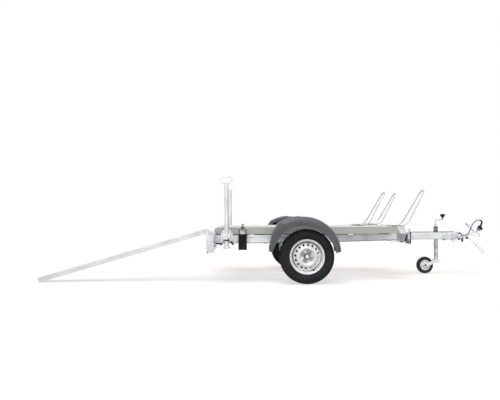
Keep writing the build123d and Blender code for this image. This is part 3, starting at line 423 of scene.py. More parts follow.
def pushed(outline, origin, across, up, depth):
    # a flat outline pushed through a depth vector
    return stacked(outline, [(0, 0), (0, 1)], origin, across, up, depth)


def tube(path, radius, around=12, up=alongZ):
    # a circle carried along a path, square to it
    path = np.asarray(path, float)
    ahead = unit(np.gradient(path, axis=0))
    u = unit(np.cross(ahead, up))[:, None]
    v = np.cross(ahead[:, None], u)
    turn = (np.arange(around) / around * 2 * np.pi)[None, :, None]
    size = np.broadcast_to(np.asarray(radius, float), len(path))[:, None, None]
    grid = path[:, None] + size * (np.cos(turn) * u + np.sin(turn) * v)
    return skin(grid, closeColumns=True, caps=True)


def bolt(place, axis, radius=8, height=6):
    # a washer, a six-sided head and the end of the thread in it
    w, u, v = squareTo(axis)
    place = np.asarray(place, float)
    wide, core = radius * 1.35, radius * 0.5
    return [pushed(ring(6, radius), place + w * 1.5, u, v, w * height),
            turned([(0.5, 0), (wide, 0), (wide, 1.6), (0.5, 1.6)], place, axis, 20),
            turned([(0.4, 0), (core, 0), (core, height + 4), (0.4, height + 5)], place, axis, 12)]


# the slot that each finish is named for; makePiece works out a piece's slot from it, or else the frame's, but does
# not keep it
slotOf = {camel(row["slot"]): row["slot"] for row in frame["record"]["materials"]}


def makePiece(name, shells, finish, slot=None, body="chassis", stands=(), wall=0, bevel=0,
              sharp=40, inside=None):
    # one piece from its surfaces: each one's doubles merged, faces outward, then wall and bevel
    whole = bmesh.new()
    for points, faces in shells:
        part = bpy.data.meshes.new("part")
        part.from_pydata((points * mm).tolist(), [], [face for block in faces
                                                      for face in block.tolist()])
        known = len(whole.verts)
        whole.from_mesh(part)
        whole.verts.ensure_lookup_table()
        bmesh.ops.remove_doubles(whole, verts=whole.verts[known:], dist=0.00001)
        bpy.data.meshes.remove(part)
    bmesh.ops.recalc_face_normals(whole, faces=whole.faces)
    mesh = bpy.data.meshes.new(name)
    whole.to_mesh(mesh)
    whole.free()
    mesh.materials.append(finishes[finish])
    mesh.shade_smooth()
    mesh.set_sharp_from_angle(angle=math.radians(sharp))
    piece = placed(name, mesh)
    if wall:
        solid = setUp(piece.modifiers.new("wall", "SOLIDIFY"), thickness=wall * mm, offset=-1)
        if inside:
            mesh.materials.append(finishes[inside])
            solid.material_offset = 1
    if bevel:
        setUp(piece.modifiers.new("ease", "BEVEL"), width=bevel * mm, segments=2,
              limit_method="ANGLE", angle_limit=math.radians(40))
    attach(piece, body)
    slot = slot or slotOf.get(finish, "galvanised_frame")
    if stands:
        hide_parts(*stands)
    return piece


def grooved(points, look):
    # positions across a tread with its grooves' edges added, and how deep each one is sunk
    grooves = np.array(look["grooves"])
    edges = np.array([look["grooveHalf"], look["grooveEdge"]])
    edges = np.concatenate([-edges, edges])
    across = np.unique(np.concatenate([points, (grooves[:, None] + edges).ravel()]))
    near = np.min(np.abs(across[:, None] - grooves), axis=1)
    return across, look["grooveDepth"] * (near < edges[2:].mean())


# tyres: four grooves round the tread, cut across by slanting slots, and rings on the walls
tyreLook = {"pitches": 72, "grooves": (-39, -13.5, 13.5, 39), "grooveHalf": 3.4, "grooveEdge": 4.6,
            "grooveDepth": 6.5, "slotDepth": 5, "slotStart": 12, "slotEase": 20, "slant": 0.0088,
            "slotTurns": (0, 0.03, 0.15, 0.18, 0.6), "inSlot": (0, 1, 1, 0, 0),
            "treadHalf": 62, "treadKnee": 53, "crownDrop": 5.5, "shoulder": (72, 263),
            "widest": 226, "flange": (57, 180), "bead": 163, "wall": 10,
            "rings": ((199, 203), (244, 249)), "ringHeight": 0.9}


def makeTyre(name, side):
    # its section swept round the hub, each tread point sunk as deep as its groove or slot
    look = tyreLook
    low, high = boxOf("tyre_" + name)[:2]
    half, radius = (high - low)[1:] / 2
    tread, knee, wall = look["treadHalf"], look["treadKnee"], look["wall"]
    foot, bead = look["flange"], look["bead"]
    across, sunk = grooved([-tread, -knee, 0, knee, tread], look)
    crown = radius - look["crownDrop"] * (across / tread) ** 2
    cutAcross = np.clip((np.abs(across) - look["slotStart"]) / look["slotEase"], 0, 1)
    outer = arcThrough(foot, (half, look["widest"]), look["shoulder"], 26)
    for start, end in look["rings"]:
        outer[:, 0] += ((outer[:, 1] > start) & (outer[:, 1] < end)) * look["ringHeight"]
    inner = arcThrough((tread, look["shoulder"][1] - 1), (half - wall, look["widest"]),
                       (foot[0] - wall, foot[1]), 9)
    toe = np.array([(foot[0] - wall, bead), (foot[0], bead)])
    flip = np.array([-1, 1])
    inside = np.vstack([inner[::-1] * flip, [(0, radius - wall)], inner])
    line = np.vstack([outer * flip, np.stack([across, crown], -1), outer[::-1], toe[::-1],
                      inside[::-1], toe * flip])
    rest = (len(outer), len(line) - len(outer) - len(across))
    groove = np.pad(sunk, rest)
    slots = np.pad(cutAcross * look["slotDepth"], rest)
    pitches = look["pitches"]
    turn = (np.arange(pitches)[:, None] + np.array(look["slotTurns"])).ravel() * 2 * np.pi / pitches
    deep = np.maximum(groove, np.tile(look["inSlot"], pitches)[:, None] * slots)
    angle = turn[:, None] + look["slant"] * np.clip(line[:, 0], -tread, tread)
    r = line[:, 1] - deep
    grid = np.stack([axleX + r * np.cos(angle),
                     side * trackHalf + np.broadcast_to(line[:, 0], r.shape),
                     hubZ + r * np.sin(angle)], -1)
    makePiece("tyreTreaded" + name.capitalize(), [skin(grid, True, True)], "tyreRubber",
              body="wheel_" + name + "_body", stands=["tyre_" + name], sharp=32)


# wheels: pressed disc with round vents and a raised four-armed star, in a drawn rim; the disc's
# line gives how far it stands out at each radius
wheelLook = {"vents": 16, "ventTurn": 16.9, "ventRadius": 11.5, "ventCircle": 120.5,
             "ventReach": 13, "perEdge": 6, "sheet": 4, "face": 30, "centreHole": 33, "star": 6,
             "starTurn": 28, "starFrom": 36, "starTo": 70, "starEase": 8, "starTwist": 0.03,
             "rim": [(177, 65), (179.3, 62.5), (177.5, 59), (172.5, 57.5), (164, 57), (163.5, 24),
                     (152, 12), (152, -18), (163.5, -28)], "rimLips": 5, "rimSheet": 3.2}
discLine = np.array([(33, 4), (50, 4), (61, 4), (67, 10), (73, 20), (80, 27), (88, 29), (96, 26),
                     (104, 20), (112, 14.5), (128, 6), (136, 3), (139.5, -1), (142, -10),
                     (142, -26)])


def discHeight(radius, angle):
    # how far the disc stands before its mounting face: its pressed line, and four arms
    look = wheelLook
    height = np.interp(radius, discLine[:, 0], discLine[:, 1])
    arms = np.cos(4 * (angle - math.radians(look["starTurn"])) + (radius - 50) * look["starTwist"])
    window = (np.clip((radius - look["starFrom"]) / look["starEase"], 0, 1)
              * np.clip((look["starTo"] - radius) / look["starEase"], 0, 1))
    return height + look["star"] * window * np.clip(arms * 1.6 + 0.3, -0.4, 1)


def makeWheel(name, side):
    # rings of quads within and beyond the vents, and between them a patch round each vent that
    # goes from its circle to a square
    look = wheelLook
    body = "wheel_" + name + "_body"
    vents, circle, reach = look["vents"], look["ventCircle"], look["ventReach"]
    perEdge = look["perEdge"]
    sector = 2 * np.pi / vents
    start = math.radians(look["ventTurn"])
    centre = np.array([axleX, side * (trackHalf + look["face"]), hubZ])

    def place(radius, angle):
        out = side * discHeight(radius, angle)
        return centre + np.stack([radius * np.cos(angle), out, radius * np.sin(angle)], -1)

    steps = np.arange(vents * perEdge) / perEdge * sector + sector / 2 + start
    within = np.concatenate([np.linspace(look["centreHole"], 70, 14), np.linspace(72, 104, 14),
                             [circle - reach]])
    beyond = np.array([circle + reach, 136, 138.5, 140.5, 141.5, 142])
    shells = [skin(place(*np.meshgrid(radii, steps)), closeRows=True) for radii in (within, beyond)]
    edge = np.linspace(-1, 1, perEdge + 1)[:-1]
    ones = np.ones(perEdge)
    a = np.concatenate([edge, ones, -edge, -ones])
    b = np.concatenate([-ones, edge, ones, -edge])
    bearing = np.arctan2(b * reach, a * circle * sector / 2)
    holeA = look["ventRadius"] * np.cos(bearing) / (circle * sector / 2)
    holeB = look["ventRadius"] * np.sin(bearing) / reach
    spread = np.linspace(0, 1, 4)[:, None]
    a, b = holeA + (a - holeA) * spread, holeB + (b - holeB) * spread
    for index in range(vents):
        angle = start + index * sector + a * sector / 2
        shells.append(skin(place(circle + b * reach, angle), closeColumns=True))
    points = np.vstack([shell[0] for shell in shells])
    starts = np.cumsum([0] + [len(shell[0]) for shell in shells])
    faces = [shell[1][0] + start for shell, start in zip(shells, starts)]
    makePiece("wheelDisc" + name.capitalize(), [(points, faces)], "wheelSilver", body=body,
              stands=["wheel_" + name], wall=look["sheet"], sharp=50)
    lip = [(r, -along) for r, along in look["rim"][:look["rimLips"]]]
    line = rounded(look["rim"] + lip[::-1], 5)
    shell = turned(line * np.array([1, side]), (axleX, side * trackHalf, hubZ), steps=128,
                   closed=False)
    makePiece("wheelRim" + name.capitalize(), [shell], "wheelSilver", body=body,
              wall=look["rimSheet"], sharp=50)


# brake drum with cooling ribs, the fixed plate behind it, wheel nuts, cap and valve
brakeLook = {"radius": 136, "depth": 62, "ribs": 3, "plateRadius": 132, "plateBolts": (40, 200, 320),
             "plateCircle": 84, "nuts": 4, "nutCircle": 50, "nutTurn": -17, "nutRadius": 10.5,
             "nutHeight": 11.5, "capRadius": 25, "valve": (150, -63.5), "valveLean": 0.3,
             "mount": 31}


def makeBrake(name, side):
    look = brakeLook
    body, end = "wheel_" + name + "_body", name.capitalize()
    low, high = boxOf("hub_" + name)[:2]
    inner, outer = sorted((abs(low[1]), abs(high[1])))
    mount = outer - look["mount"]
    centre = np.array([axleX, 0, hubZ])
    out = alongY * side

    def spotAt(reach, degrees, away):
        # a place that far from the axis, at that bearing, that far out from the trailer's middle
        turn = math.radians(degrees)
        return centre + (reach * math.cos(turn), side * away, reach * math.sin(turn))

    radius, depth = look["radius"], look["depth"]
    ribs = [(radius + lift, inner + 6 + depth * share) for rib in range(look["ribs"])
            for share, lift in ((0.2 + 0.22 * rib, -3), (0.22 + 0.22 * rib, 0),
                                (0.3 + 0.22 * rib, 0), (0.32 + 0.22 * rib, -3))]
    line = [(60, inner + 1), (radius - 6, inner + 1), (radius, inner + 4), *ribs,
            (radius - 2, inner + depth - 3), (radius - 8, inner + depth), (70, inner + depth + 2),
            (62, inner + depth + 10), (41, inner + depth + 14), (41, inner + 40)]
    makePiece("brakeDrum" + end, [turned(np.array(line) * (1, side), centre, steps=96)],
              "brakeIron", "swing_arm_steel", body)
    back, wide = inner - 9, look["plateRadius"]
    plate = [(30, back), (wide - 8, back), (wide, back + 4), (wide, back + 6),
             (wide - 10, back + 3), (30, back + 3)]
    shells = [turned(np.array(plate) * (1, side), centre, steps=72)]
    for turn in look["plateBolts"]:
        shells += bolt(spotAt(look["plateCircle"], turn, back), -out, 7, 5)
    makePiece("brakePlate" + end, shells, "swingArmSteel")
    nuts = []
    for index in range(look["nuts"]):
        spot = spotAt(look["nutCircle"], look["nutTurn"] + 360 / look["nuts"] * index, mount + 2)
        nuts.append(pushed(ring(6, look["nutRadius"], phase=0.3), spot + out, alongX, alongZ,
                           out * look["nutHeight"]))
        nuts.append(turned([(0.5, 0.2), (14, 0.2), (13, 2.4), (0.5, 2.4)], spot, out, 24))
        nuts.append(turned([(0.4, 9), (6, 9), (6, 14.5), (4.5, 16), (0.4, 16)], spot, out, 16))
    makePiece("wheelNuts" + end, nuts, "boltZinc", "swing_arm_steel", body, sharp=35)
    cap = look["capRadius"]
    dome = [(0.5, 33), (9, 32.4), (17, 30), (cap - 2.5, 26), (cap, 20), (cap, 10), (cap + 1.5, 9),
            (cap + 1.5, 4)]
    makePiece("hubCap" + end, [turned(dome, centre + out * mount, out, 64)], "freshZinc",
              "swing_arm_steel", body, sharp=35)
    turn, lean = math.radians(look["valve"][1]), look["valveLean"]
    valve = [(0.5, 0), (7.5, 0), (8, 6), (6.5, 10), (5.5, 12), (5.2, 24), (6.4, 25), (6.4, 33),
             (5, 35), (0.5, 35)]
    makePiece("valve" + end, [turned(valve, spotAt(*look["valve"], mount - 8),
                                     (lean * math.cos(turn), side, lean * math.sin(turn)), 20)],
              "blackPlastic", body=body)


# mudguards: an arch of three arcs that overlap in two small steps; its section runs from the
# inner edge over the top and shoulder into a skirt, cut on an arc and flared at the edge
guardLook = {"rearArc": (97, 69, 476), "frontArc": (-31, 26, 382), "corner": 142.5, "crest": 94.5,
             "brow": (-203, 390), "points": (30, 60, 44), "skirt": (-35, -25, 328), "step": 7,
             "endStep": 6, "endReach": 70, "endEase": 12, "wall": 3, "ease": 14, "flare": 6,
             "flareReach": 13, "flareFrom": 60, "bulge": 3, "bulgeFrom": 75, "bulgeEase": 30,
             "section": [(-110, 49), (-110, 7), (-84, 0), (40, 0), (92, 13), (110, 46), (110, 200)]}


def onArc(arc, degrees):
    # points at those bearings on an arc, which is given by its centre and radius
    turn = np.radians(degrees)
    return np.array(arc[:2]) + arc[2] * np.stack([np.cos(turn), np.sin(turn)], -1)


def lengthAlong(line):
    # how far each point of a line is from its start, along it
    return np.concatenate([[0], np.cumsum(np.linalg.norm(np.diff(line, axis=0), axis=1))])


def makeGuard(name, side):
    # the section carried along the arch, square to its smoothed heading, as far as the skirt's
    # arc lets it reach
    look = guardLook
    low, middle = boxOf("mudguard_" + name)[::2]
    end = low[2] - hubZ
    rearArc, frontArc = look["rearArc"], look["frontArc"]
    behind = 180 - math.degrees(math.asin((end - rearArc[1]) / rearArc[2]))
    before = math.degrees(math.asin((end - frontArc[1]) / frontArc[2]))
    rearCount, browCount, frontCount = look["points"]
    rear = onArc(rearArc, np.linspace(behind, look["corner"], rearCount))
    front = onArc(frontArc, np.linspace(look["crest"], before, frontCount))
    brow = arcThrough(rear[-1], look["brow"], front[0], browCount + 2)[1:-1]
    tail = np.clip((end + look["endReach"] - rear[:, 1]) / look["endEase"], 0, 1)
    lift = np.concatenate([tail * look["endStep"],
                           np.linspace(-look["step"], look["step"], browCount),
                           np.zeros(frontCount)])
    bulge = np.repeat([0.0, look["bulge"], 0.0], look["points"])
    line = np.vstack([rear, brow, front])
    ahead = unit(np.gradient(line, axis=0))
    heading = np.unwrap(np.arctan2(ahead[:, 1], ahead[:, 0]))
    span = 2 * look["ease"] + 1
    heading = np.convolve(np.pad(heading, look["ease"], "edge"), np.full(span, 1 / span), "valid")
    normal = np.stack([-np.sin(heading), np.cos(heading)], -1)
    line = line + normal * lift[:, None]
    off = line - np.array(look["skirt"][:2])
    along = np.sum(off * normal, 1)
    beside = off[:, 0] * normal[:, 1] - off[:, 1] * normal[:, 0]
    cut = along - np.sqrt(look["skirt"][2] ** 2 - beside ** 2)
    section = rounded(look["section"], 30, 8)
    length = lengthAlong(section)
    outer = section[:, 0] > 0
    reach = np.interp(cut, section[outer, 1], length[outer])
    share = np.concatenate([np.linspace(0, 0.9, 40), np.linspace(0.91, 1, 10)])
    place = reach[:, None] * share
    across = np.interp(place, length, section[:, 0])
    inset = np.interp(place, length, section[:, 1])
    edge = np.clip((inset - cut[:, None]) / look["flareReach"] + 1, 0, 1)
    edge = edge * (across > look["flareFrom"])
    swell = np.clip((across - look["bulgeFrom"]) / look["bulgeEase"], 0, 1)
    across = across + look["flare"] * edge ** 2 + bulge[:, None] * swell
    flat = line[:, None] - normal[:, None] * inset[..., None]
    grid = np.stack([axleX + flat[..., 0], middle[1] + side * across, hubZ + flat[..., 1]], -1)
    # the shell's inner faces take the near-black painted shade
    makePiece("mudguardShell" + name.capitalize(), [skin(grid)], "mudguardPlastic",
              stands=["mudguard_" + name], wall=look["wall"], bevel=1, sharp=30,
              inside="guardInside")


for name, side in sides.items():
    makeTyre(name, side)
    makeWheel(name, side)
    makeBrake(name, side)
    makeGuard(name, side)
print("wheels, brakes and mudguards made")


# wheel chocks: a ribbed hollow between two cheeks, hung under a star knob
chockLook = {"reach": 98, "cheek": 6.5, "recess": 6, "belly": 72, "barRadius": 2.4, "barInset": 3,
             "knobRadius": 24, "lobes": 7, "lobeDepth": 0.16, "holderTop": 568, "holderWall": 6,
             "ear": 8, "earReach": 22}


def chockOutline(back, toe, low, high, inset):
    # foot, back, top and the hollow that the tyre lies in, drawn in by the inset
    hollow = arcThrough((back + 26 - inset, high),
                        (back + 50 - inset, low + chockLook["belly"] - inset),
                        (toe - inset, low + 12 - inset), 18)
    return np.vstack([[(toe - inset, low), (back, low), (back, high)], hollow])


def makeChocks():
    look = chockLook
    low, high = boxOf("wheel_chocks")[:2]
    knobMiddle = boxOf("chock_knobs")[2]
    plateLow, plateHigh, plateMiddle = boxOf("chock_holders")
    toe, back = high[1], high[1] - look["reach"]
    cheek, sheet, r = look["cheek"], look["holderWall"], look["knobRadius"]
    knob = [(8, 0), (8, 9), (r - 5, 9.5), (r - 1, 12), (r, 16), (r, 22), (r - 3, 26), (12, 28),
            (9, 26.5), (0.5, 26.5)]
    wide, tall = plateHigh[0] - plateLow[0], look["holderTop"] - plateLow[2]
    earTall = look["holderTop"] - high[2] - 8
    shells, knobs, plates, ears = [], [], [], []
    for side in (-1, 1):
        out = alongY * side
        for start, depth, inset in ((low[0], cheek, 0), (high[0], -cheek, 0),
                                    (low[0] + cheek, high[0] - low[0] - 2 * cheek, look["recess"])):
            outline = chockOutline(back, toe, low[2], high[2], inset)
            shells.append(pushed(outline, alongX * start, out, alongZ, alongX * depth))
        hollow = chockOutline(back, toe, low[2], high[2], look["recess"])[3:]
        for across, up in hollow[1:-1:2]:
            ends = [(low[0] + look["barInset"], side * across, up),
                    (high[0] - look["barInset"], side * across, up)]
            shells.append(tube(ends, look["barRadius"], 10))
        knobs.append(lobed(knob, (knobMiddle[0], side * back, knobMiddle[2]), out, look["lobes"],
                           look["lobeDepth"]))
        plates.append(pushed(oblong(wide, tall, 10),
                             (plateMiddle[0], side * (back - sheet), plateLow[2] + tall / 2),
                             alongX, alongZ, out * sheet))
        for edge in (-1, 1):
            spot = (plateMiddle[0] + edge * (wide - look["ear"]) / 2, side * (back - 1),
                    (high[2] + look["holderTop"]) / 2 - 2)
            ears.append(pushed(oblong(look["ear"], earTall, 1.5), spot, alongX, alongZ,
                               out * look["earReach"]))
    makePiece("chockBodies", shells, "chockPlastic", stands=["wheel_chocks"], bevel=1.2)
    makePiece("chockStarKnobs", knobs, "knobGrey", "black_plastic", stands=["chock_knobs"])
    makePiece("chockHolderPlates", plates, "freshZinc", stands=["chock_holders"], bevel=0.8)
    makePiece("chockHolderEars", ears, "brakeIron")


makeChocks()


# rear lamps: a black tray, three ribbed lenses, the blank plate's rim, screws and lights
lampLook = {"width": 195, "height": 130, "corner": 12, "tray": 20, "lens": 22, "ribs": 9,
            "ripple": 1.3, "panels": (("Amber", 60, -64), ("Red", 66, 1), ("Clear", 56, 64)),
            "plateRim": 4, "plateLights": 205, "lightBelow": 20, "screwShare": 0.36,
            "reflector": 327}


def lens(middle, half, look, steps=18):
    # a shallow box whose face ripples up and down, ribs times over its height
    u = np.concatenate([[-1, -1], np.linspace(-1, 1, steps), [1, 1]])
    v = np.concatenate([[-1, -1], np.linspace(-1, 1, look["ribs"] * 6 + 1), [1, 1]])
    u, v = np.meshgrid(u, v)
    edge = np.ones_like(u)
    edge[[0, -1], :] = edge[:, [0, -1]] = 0
    face = look["lens"] * edge + look["ripple"] * edge * np.cos(v * look["ribs"] * np.pi)
    face[[1, -2], :] = np.minimum(face[[1, -2], :], look["lens"] - 3)
    return skin(np.stack([middle[0] - face, middle[1] + u * half[0], middle[2] + v * half[1]], -1))


def makeLamps():
    look = lampLook
    low, high, middle = boxOf("tail_lamps")
    face, tray = high[0], look["tray"]
    middleY = high[1] - look["width"] / 2
    trays = [stacked(oblong(look["width"], look["height"], look["corner"]),
                     [(4, 0), (0, 3), (0, tray - 2), (2, tray)], (face, side * middleY, middle[2]),
                     alongY, alongZ, -alongX) for side in (-1, 1)]
    makePiece("lampTrays", trays, "blackPlastic", stands=["tail_lamps"])
    for colour, width, offset in look["panels"]:
        shells = [lens((face - tray + 1, side * (middleY - offset), middle[2]),
                       (width / 2, look["height"] / 2 - 6), look) for side in (-1, 1)]
        makePiece("lampLens" + colour, shells, "lamp" + colour, "lamp_red", wall=2)
    plateLow, plateHigh, plateMiddle = boxOf("number_plate")
    wide, tall = (plateHigh - plateLow)[1:]
    rim = look["plateRim"]
    bars = []
    for y, z, across, upright in ((0, tall / 2 - 3, wide - 10, rim),
                                  (wide / 2 - 5, 0, rim, tall - 10)):
        for edge in (1, -1):
            spot = (plateLow[0] + 0.5, edge * y, plateMiddle[2] + edge * z)
            bars.append(pushed(oblong(across, upright, 1.5), spot, alongY, alongZ, alongX * -1.5))
    makePiece("plateRim", bars, "blackPlastic")
    board = boxOf("lamp_board")[1]
    screws, lights, glass = [], [], []
    for side in (-1, 1):
        screws += bolt((plateLow[0] + 0.2, side * wide * look["screwShare"], plateMiddle[2]),
                       -alongX, 4.5, 2.5)
        top = (high[0] + 1, side * look["plateLights"], board[2] - look["lightBelow"])
        lights.append(stacked(oblong(70, 26, 8), [(3, 0), (0, 3), (0, 20), (4, 24)], top, alongY,
                              alongZ, -alongX))
        glass.append(stacked(oblong(52, 14, 6), [(0, 0), (0, 4), (3, 6)],
                             np.add(top, (-12, 0, -11)), alongY, alongX, -alongZ))
        lights.append(turned([(0.5, 0), (9, 0), (9.5, 6), (6, 9), (0.5, 9)],
                             (low[0] + 15, side * (board[1] - 4), look["reflector"]), -alongZ, 20))
    makePiece("plateScrews", screws, "boltZinc")
    makePiece("plateLamps", lights, "blackPlastic")
    makePiece("plateLampGlass", glass, "lampClear", "lamp_red")


makeLamps()


# frame: caps in the rear crossmember's ends, rolled beads on the side beams, the lower ones dark as painted
# shade, dark strips of painted shade at the rails' feet and under the rails, conduits on the lamp leads,
# dark rings of painted shade under the leg clamps, and the drawbar's round corners
trimLook = {"capFoot": 503, "cap": [(3, -14), (3, 0.2), (0, 0.4), (0, 3), (2.5, 5)],
            "beam": ((-978, 626), (110, 626), (1123, 138.5)),
            "beads": (("beamBeads", "galvanisedFrame", 482, 7),
                      # the lower beads are dark as painted shade
                      ("beamLowBeads", "swingArmSteel", 414, 5)),
            # painted shade: dark strips at the feet of the rails' outer walls
            "lips": ((-925, 330), (806, 902)), "lipHeight": 7, "lipWall": 1.8, "railFoot": 500,
            # painted shade: dark strips in the gap under the rails, less dark towards the front
            "packing": {"darkZinc": (-925, 560), "swingArmSteel": (560, 1030)},
            "packingAcross": (563, 584), "packingFoot": 490.5, "packingTall": 9,
            "conduit": ((-966, 424), (-946, 410), (-900, 408), (-874, 393)),
            "conduitY": 622, "conduitRadius": 9, "bushTop": 454.5, "drawbarCorner": 13,
            "bush": [(24.7, 0), (37, 0), (35, -7), (28, -14), (24.7, -14)]}


def makeTrim():
    look = trimLook
    low, high, middle = boxOf("rear_crossmember")
    foot = look["capFoot"]
    caps = [stacked(oblong(high[0] - low[0], high[2] - foot, 6), look["cap"],
                    (middle[0], side * high[1], (foot + high[2]) / 2), alongX, alongZ,
                    alongY * side) for side in (-1, 1)]
    makePiece("crossmemberCaps", caps, "freshZinc")
    for name, finish, up, radius in look["beads"]:
        lines = [[(axleX + x, side * y, up) for x, y in look["beam"]] for side in (-1, 1)]
        makePiece(name, [tube(rounded(line, 40), radius, 14) for line in lines], finish,
                  "galvanised_frame")
    wallY = boxOf("rail_left")[1][1]
    # painted shade: dark strips at the feet of the rails' outer walls
    lips = [pushed(strip(*ends, 0, look["lipHeight"]), (axleX, side * (wallY - 1), look["railFoot"]),
                   alongX, alongZ, alongY * side * look["lipWall"])
            for side in (-1, 1) for ends in look["lips"]]
    makePiece("railLips", lips, "darkZinc", "galvanised_rail")
    # painted shade: dark strips in the gap under the rails
    for finish, ends in look["packing"].items():
        shells = [pushed(strip(*ends, *look["packingAcross"]), (axleX, 0, look["packingFoot"]),
                         alongX, alongY * side, alongZ * look["packingTall"])
                  for side in (-1, 1)]
        makePiece("packing" + finish.capitalize(), shells, finish, "galvanised_frame")
    lines = [[(axleX + x, side * look["conduitY"], up) for x, up in look["conduit"]]
             for side in (-1, 1)]
    makePiece("lampConduits", [tube(rounded(line, 12), look["conduitRadius"]) for line in lines],
              "cableSheath")
    # painted shade: a dark ring under each leg clamp
    legs = [boxOf("stand_" + name)[2] for name in sides]
    makePiece("legBushes", [turned(look["bush"], (leg[0], leg[1], look["bushTop"]), alongZ, 40)
                            for leg in legs], "blackPlastic")
    low, high, middle = boxOf("drawbar")
    long, wide, tall = high - low
    makePiece("drawbarRounded", [pushed(oblong(wide, tall, look["drawbarCorner"]),
                                        (low[0], 0, middle[2]), alongY, alongZ, alongX * long)],
              "galvanisedFrame", stands=["drawbar"])


makeTrim()


# bolts where the frame's pieces meet: x from the axle, y, z, head radius and height
boltLook = {"crossmembers": (-560, -20, 500, 960), "rear": -977, "floor": 518, "floorReach": 46,
            "sides": ((85, 630, 430, 8.5, 6), (130, 630, 430, 8.5, 6), (215, 630, 430, 8.5, 6),
                      (-870, 630, 520, 7, 5), (-774, 630, 520, 7, 5), (1892, 24, 450, 7, 5),
                      (1924, 24, 450, 7, 5), (-798, 755, 467, 7, 4)),
            "gussets": ((-940, 799.6, 396, 6.5, 4),), "under": (1705, -28, 408, 8, 8),
            "weld": ((568, 489), (628, 490)), "weldReach": 30}


def sideBolts(rows, side):
    # bolts that point out to one side
    return [shell for x, y, z, radius, height in rows
            for shell in bolt((axleX + x, side * y, z), alongY * side, radius, height)]


def makeBolts():
    look = boltLook
    spacing = railWallShade["spacing"]
    shells, dark, welds = [], [], []
    for place in (look["rear"], *look["crossmembers"]):
        for middle in (-spacing, 0, spacing):
            for reach in (-look["floorReach"], look["floorReach"]):
                shells += bolt((axleX + place, middle + reach, look["floor"]), alongZ, 7.5, 5)
    for side in (-1, 1):
        shells += sideBolts(look["sides"], side)
        dark += sideBolts(look["gussets"], side)
        for place in look["crossmembers"][:3]:
            for edge in (-look["weldReach"], look["weldReach"]):
                ends = [(axleX + place + edge, side * y, z) for y, z in look["weld"]]
                thickness = 2.6 + 0.6 * np.cos(np.arange(16) * 2.4)
                welds.append(tube(np.linspace(*ends, 16), thickness, 8))
    x, y, z, radius, height = look["under"]
    dark += bolt((axleX + x, y, z), -alongZ, radius, height)
    makePiece("frameBolts", shells, "boltZinc", sharp=35)
    makePiece("darkBolts", dark, "brakeIron", sharp=35)
    makePiece("weldBeads", welds, "swingArmSteel", "galvanised_frame")


makeBolts()


# grips on the frame's small controls, the coupling's buffer and the stop on the front bracket:
# places from the axle, and where the middle plane needs no y, x and z alone
gripLook = {"lever": (-752, 751, 403), "leverDown": (68, 0, -94), "handleTop": (1988, 598),
            "handleFoot": (2088, 494), "buffer": (1904, 426), "stop": 1314}


def makeGrips():
    look = gripLook
    grip = [(0.5, -8), (7.5, -8), (9.6, -4), (10, 30), (8, 38), (0.5, 40)]
    sleeve = [(9.2, 0), (11.5, 2), (12.5, 8), (11.2, 20), (12.5, 34), (10.5, 41), (6, 43.5), (0.5, 44)]
    buffer = [(0.5, -28), (8, -28), (11, -22), (11, -6), (7, 0), (0.5, 0)]
    knob = [(14.3, -18), (17, -15), (19, -9), (19, -2), (16, 4), (10, 7), (0.5, 7.5)]
    down = unit(look["leverDown"])
    x, y, z = look["lever"]
    shells = [turned(grip, (axleX + x, side * y, z) - down * 34, down, 20)
              for side in (-1, 1)]
    makePiece("leverGrips", shells, "blackPlastic")
    top, foot = (np.array([axleX + x, 0, z]) for x, z in (look["handleTop"], look["handleFoot"]))
    rise = unit(top - foot)
    makePiece("handleGrip", [turned(sleeve, top - rise * 40, rise, 28)], "gripGrey",
              "black_plastic")
    x, z = look["buffer"]
    makePiece("draftBuffer", [turned(buffer, (axleX + x, 0, z), alongZ, 28)], "blackPlastic")
    stop = (axleX + look["stop"], 0, boxOf("front_bracket")[1][2])
    makePiece("stopKnob", [turned(knob, stop, alongZ, 36)], "gripGrey", "black_plastic")


makeGrips()


# front bracket: a black line of painted shade round its front plate, and a black slot of painted shade,
# a patch, web and eye on each cheek, whose outlines give the distance forward of the cheek's start and the height
bracketLook = {"front": 1303, "half": 75, "flare": 12, "low": 363, "high": 498, "edging": 6,
               "beamEnd": (1125, 141.5), "cheekEnd": (1300, 83),
               "slot": [(99, 391), (123, 470), (139, 478), (116, 391)],
               "patch": [(116, 391), (139, 478), (157, 478), (157, 374), (104, 374)],
               "web": [(2, 400), (0, 487), (119, 487), (122, 470), (99, 391), (60, 392)],
               "plates": (("bracketSlots", "slotBlack", "slot", 2.5),
                          ("bracketPatches", "swingArmSteel", "patch", 1.5),
                          ("bracketWebs", "boltZinc", "web", 1)),
               "eye": (154, 437), "eyeReach": (8, 39)}


def makeBracket():
    look = bracketLook
    front, half = axleX + look["front"], look["half"]
    wide = half + look["flare"]
    rim = rounded([(front, -wide, look["high"]), (front, -half, look["low"]),
                   (front, half, look["low"]), (front, wide, look["high"])], 14, 5)
    # painted shade: a black line round the front plate
    makePiece("bracketEdging", [tube(rim, look["edging"], up=alongX)], "slotBlack",
              "black_plastic")
    start, end = look["beamEnd"], look["cheekEnd"]
    slope = (end[1] - start[1]) / (end[0] - start[0])

    def onCheek(side):
        # a cheek's start, the way along it, up and out of it
        return ((axleX + start[0], side * start[1], 0), np.array([1, side * slope, 0]), alongZ,
                unit((-slope, side, 0)))

    # the black slots on the cheeks are painted shade
    for name, finish, outline, lift in look["plates"]:
        line = rounded(look[outline], 5, 3, closed=True)
        shells = []
        for side in (-1, 1):
            *place, out = onCheek(side)
            shells.append(pushed(line, *place, out * lift))
        makePiece(name, shells, finish, "galvanised_frame")
    oval = ring(32, *look["eyeReach"]) + look["eye"]
    eyes = [stacked(oval, [(0, 0), (0, 3), (2, 4.5)], *onCheek(side)) for side in (-1, 1)]
    makePiece("bracketEyes", eyes, "freshZinc")


makeBracket()


